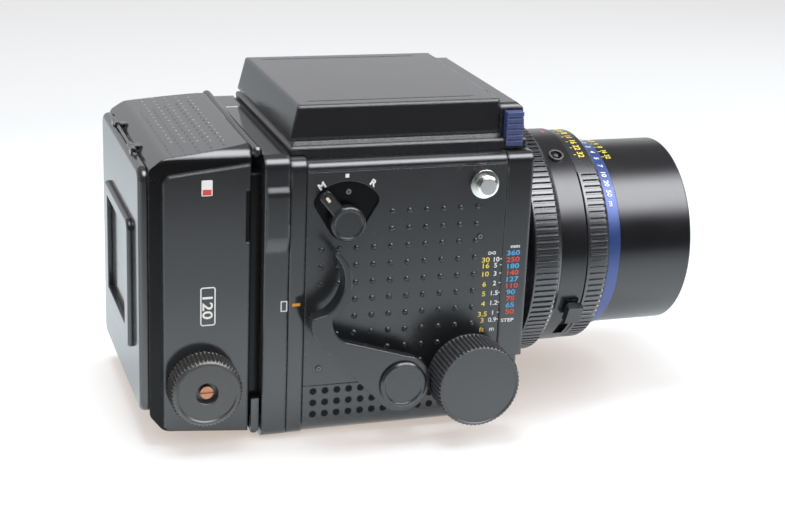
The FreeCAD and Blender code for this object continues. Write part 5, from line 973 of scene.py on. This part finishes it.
def infinitySign(look):
    # a figure of eight drawn as one band about u = size cos t, v = size rise sin 2t
    t = np.linspace(0, 2 * math.pi, look["points"], endpoint=False)
    size = look["size"]
    rise = size * look["rise"]
    centre = np.stack([size * np.cos(t), rise * np.sin(2 * t)], axis=-1)
    slope = np.stack([-size * np.sin(t), 2 * rise * np.cos(2 * t)], axis=-1)
    side = np.stack([-slope[:, 1], slope[:, 0]], axis=-1) / np.linalg.norm(slope, axis=1)[:, None]
    return band(centre + side * look["halfLine"], centre - side * look["halfLine"])


def makeFocusScale(look):
    # three columns of words; each word's second number is its height on the side. The words for metres are
    # smaller by metresHeight, and a head is (word, x, z)
    size, wide, bold = look["height"], look["wide"], look["bold"]
    feet = [(lettering(word, size, bold, wide), onRight(look["feetX"], z)) for word, z in look["feet"]]
    addMarks("scaleFeet", feet, "camera_body", "inkYellow", "panel_black")
    white = [
        (lettering(word, size * look["metresHeight"], bold, look["metresWide"]), onRight(look["metresX"], z))
        for word, z in look["metres"]
    ]
    white += [(infinitySign(infinityLook), onRight(*look["infinity"]))]
    white += [(patch(*look["dash"]), onRight(look["dashX"], z)) for word, z in look["metres"][:-1]]
    addMarks("scaleMetres", white, "camera_body", "inkWhite", "panel_black")
    lenses = [
        (lettering(word, size, look["lensesBold"], look["lensesWide"]), onRight(look["lensesX"], z))
        for word, z in look["lenses"]
    ]
    addMarks("scaleLensesBlue", lenses[0::2], "front_group", "inkBlue", "panel_black")
    addMarks("scaleLensesRed", lenses[1::2], "front_group", "inkRed", "panel_black")
    heads = [
        (lettering(word, look["headHeight"], bold, look["headWide"]), onRight(x, z))
        for word, x, z in look["heads"]
    ]
    addMarks("scaleHeads", heads, "front_group", "inkWhite", "panel_black")


makeFocusScale(focusScale)

windowLay = onPlane((-28.9, -57.4, 99.8), (0.78, 0, 0.63), (-0.63, 0, 0.78))
modeMarks = [
    (lettering("M", 2.6, 0.12, 1.1), onPlane((-30.5, sideY, 104.3), (0.84, 0, 0.54), (-0.54, 0, 0.84))),
    (patch(1.5, 1.5), onRight(-20.5, 107.8)),
    (lettering("R", 2.6, 0.12, 1.1), onPlane((-10.0, sideY, 104.6), (0.84, 0, -0.54), (0.54, 0, 0.84))),
]

# the numbers round the lens: the first stands at `first` degrees and each next one `step` further down
apertureScale = {
    "words": ["4", "5.6", "8", "11", "16", "22", "32"], "height": 2.7, "bold": 0.09, "x": 91.8, "first": 101,
    "step": 6.1, "radius": 45.25, "dash": (0.35, 1.1), "dashX": 89.0,
}
distanceScale = {
    "words": ["1", "1.5", "2", "3", "4", "5", "7", "10", "20", "50", "m"], "height": 2.3, "bold": 0.08,
    "x": 100.9, "first": 100, "step": 6.6, "radius": 41.0, "slope": -0.12,
}
depthScale = {
    "words": ["32", "16", "8", "4", "8", "16", "32"], "height": 2.3, "bold": 0.07, "x": 107.2, "first": 106,
    "step": 6.0, "radius": 40.0, "dash": (0.35, 1.5), "dashX": 104.9,
}


def scaleRound(look):
    # the words of a scale and, if it has them, a dash beside each
    angles = [look["first"] - look["step"] * k for k in range(len(look["words"]))]
    slope = look.get("slope", 0.0)
    marks = [
        (lettering(word, look["height"], look["bold"]), onBarrel(look["x"], angle, look["radius"], slope))
        for word, angle in zip(look["words"], angles)
    ]
    if "dash" in look:
        marks += [(patch(*look["dash"]), onBarrel(look["dashX"], angle, look["radius"])) for angle in angles]
    return marks


sizeLay = onPlane((-73.3, -49.0, 57.0), (0, 0, -1), (1, 0, 0))
filmSizeMark = [(lettering("120", 4.1, 0.09, 1.25), sizeLay), (outline(15.8, 6.0, 0.5, 1.1), sizeLay)]
formatMark = [(outline(2.6, 4.4, 0.4, 0.1), onRight(-44.2, 56.2, -52.5))]
statusWhite = [(patch(4.2, 6.2, 0.4), onRight(-73.8, 104.3, -49.0))]
statusRed = [(patch(3.4, 2.2, 0.1), onRight(-73.8, 102.6, -49.03))]
for row in (
    ("pointerWindow", [(patch(1.1, 2.3, 0.2), windowLay)], "mode_selector", "inkCream", "control_plastic"),
    ("modeMarks", modeMarks, "camera_body", "inkWhite", "panel_black"),
    ("apertureNumbers", scaleRound(apertureScale), "aperture_control", "inkYellow", "lens_black"),
    ("distanceNumbers", scaleRound(distanceScale), "floating_control", "inkWhite", "ring_blue"),
    ("depthNumbers", scaleRound(depthScale), "front_group", "inkYellow", "lens_black"),
    ("mountDot", [(patch(1.7, 1.7, 0.84), onBarrel(82.0, 90, 46.0))], "front_group", "inkRed", "lens_black"),
    ("filmSizeMark", filmSizeMark, "revolving_back", "inkWhite", "body_shell"),
    ("formatMark", formatMark, "revolving_back", "inkWhite", "body_shell"),
    ("indexMark", [(patch(3.2, 1.2), onRight(-39.3, 56.5, -52.6))], "camera_body", "inkOrange", "body_shell"),
    ("statusWindowWhite", statusWhite, "revolving_back", "inkWhite", "body_shell"),
    ("statusWindowRed", statusRed, "revolving_back", "inkRed", "body_shell"),
):
    addMarks(*row)

capShape = {"tilts": [0, 22, 45, 68], "sides": 14}


def capField(centres, radius, rise, off):
    # closed caps on a plane: at tilt a and turn t a point stands radius cos a out and rise sin a up from
    # its centre; each centre is (x, y, z) and off is the way the caps face
    tilt = np.radians(capShape["tilts"])
    turn = np.linspace(0, 2 * math.pi, capShape["sides"], endpoint=False)
    off = np.array(off, float)
    side = np.array([1.0, 0, 0])
    across = np.cross(off, side)
    spin = np.cos(turn)[:, None] * side + np.sin(turn)[:, None] * across
    rings = radius * np.cos(tilt)[:, None, None] * spin + rise * np.sin(tilt)[:, None, None] * off
    cap = np.concatenate([rings.reshape(-1, 3), [rise * off, 0 * off]])
    top, bottom, last = len(cap) - 2, len(cap) - 1, (len(tilt) - 1) * len(turn)
    k = np.arange(len(turn))
    n = (k + 1) % len(turn)
    quads = gridFaces(len(tilt), len(turn), closeColumns=True)
    faces = np.concatenate([
        quads[:, [0, 1, 2]], quads[:, [0, 2, 3]],
        np.stack([last + k, last + n, 0 * k + top], axis=-1), np.stack([n, k, 0 * k + bottom], axis=-1),
    ])
    points = np.array(centres, float)[:, None, :] + cap[None, :, :]
    shift = np.arange(len(points))[:, None, None] * len(cap)
    return points.reshape(-1, 3), (faces[None] + shift).reshape(-1, 3)


# taken: the (rows, columns) that the controls take from the field
studField = {
    "column": -29.9, "row": 92.6, "pitch": 7.03, "count": 10, "face": 53.19, "radius": 1.25, "rise": 0.62,
    "taken": [((0, 1), (0, 1, 2, 3)), ((5, 6), (0, 1)), ((8, 9), (0, 1, 8, 9)), ((9,), (2, 3, 4))],
}


def makeStuds(look):
    # a rounded skin over each small block on the side panels
    places = [
        (look["column"] + look["pitch"] * column, look["row"] - look["pitch"] * row)
        for row in range(look["count"]) for column in range(look["count"])
        if not any(row in rows and column in columns for rows, columns in look["taken"])
    ]
    for name, side in (("studsRight", -1), ("studsLeft", 1)):
        centres = [(x, side * look["face"], z) for x, z in places]
        points, faces = capField(centres, look["radius"], look["rise"], (0, side, 0))
        addPiece(name, points, faces, "camera_body", "leverBlack", sharp=60)


makeStuds(studField)

dotField = {
    "first": -85.0, "step": 5.0, "columns": 5, "from": -36.0, "pitch": 5.4, "rows": 14, "top": 119.18,
    "radius": 0.5, "rise": 0.12,
}


def makeCasingDots(look):
    # rows of small raised points across the top of the film back, coloured light grey as a painted highlight
    centres = [
        (look["first"] + look["step"] * column, look["from"] + look["pitch"] * row, look["top"])
        for column in range(look["columns"]) for row in range(look["rows"])
    ]
    points, faces = capField(centres, look["radius"], look["rise"], (0, 0, 1))
    addPiece("casingDots", points, faces, "revolving_back", "inkGlint", sharp=60)


makeCasingDots(dotField)

# painted shade: a near black disc is laid in each dimple of the strip low on the right side, as the shade in
# the hollow
dimples = {"first": -31.8, "top": 19.5, "pitch": 4.9, "columns": 13, "rows": 3, "width": 2.9, "corner": 1.44}
dimplePlaces = [
    (dimples["first"] + dimples["pitch"] * column, dimples["top"] - dimples["pitch"] * row)
    for column in range(dimples["columns"]) for row in range(dimples["rows"])
]
shadeDisc = patch(dimples["width"], dimples["width"], dimples["corner"])
shadedHollows = [(shadeDisc, onRight(x, z)) for x, z in dimplePlaces]
addMarks("dimpleShadeDiscs", shadedHollows, "camera_body", "inkShadow", "panel_black")
# painted highlight: a pale grey ring round each screw head stands in for its glint
socketPlaces = [(35.2, 80.1, -53.5), (-29.8, 29.2, -53.5), (-19.6, 101.2, -52.6)]
glintRings = [(outline(1.7, 1.7, 0.28, 0.84), onRight(x, z, y)) for x, z, y in socketPlaces]
addMarks("screwSockets", glintRings, "camera_body", "inkGlint", "panel_black")
ringMark = [(patch(1.0, 5.5), onPlane((-39.2, 33.0, 114.8), (1, 0, 0), (0, 1, 0)))]
addMarks("ringTopMark", ringMark, "camera_body", "inkOrange", "body_shell")
adapterMark = [(patch(5.0, 1.0), onPlane((-47.4, 28.0, 116.0), (1, 0, 0), (0, 1, 0)))]
addMarks("adapterTopMark", adapterMark, "revolving_back", "inkWhite", "body_shell")
print("marks made")
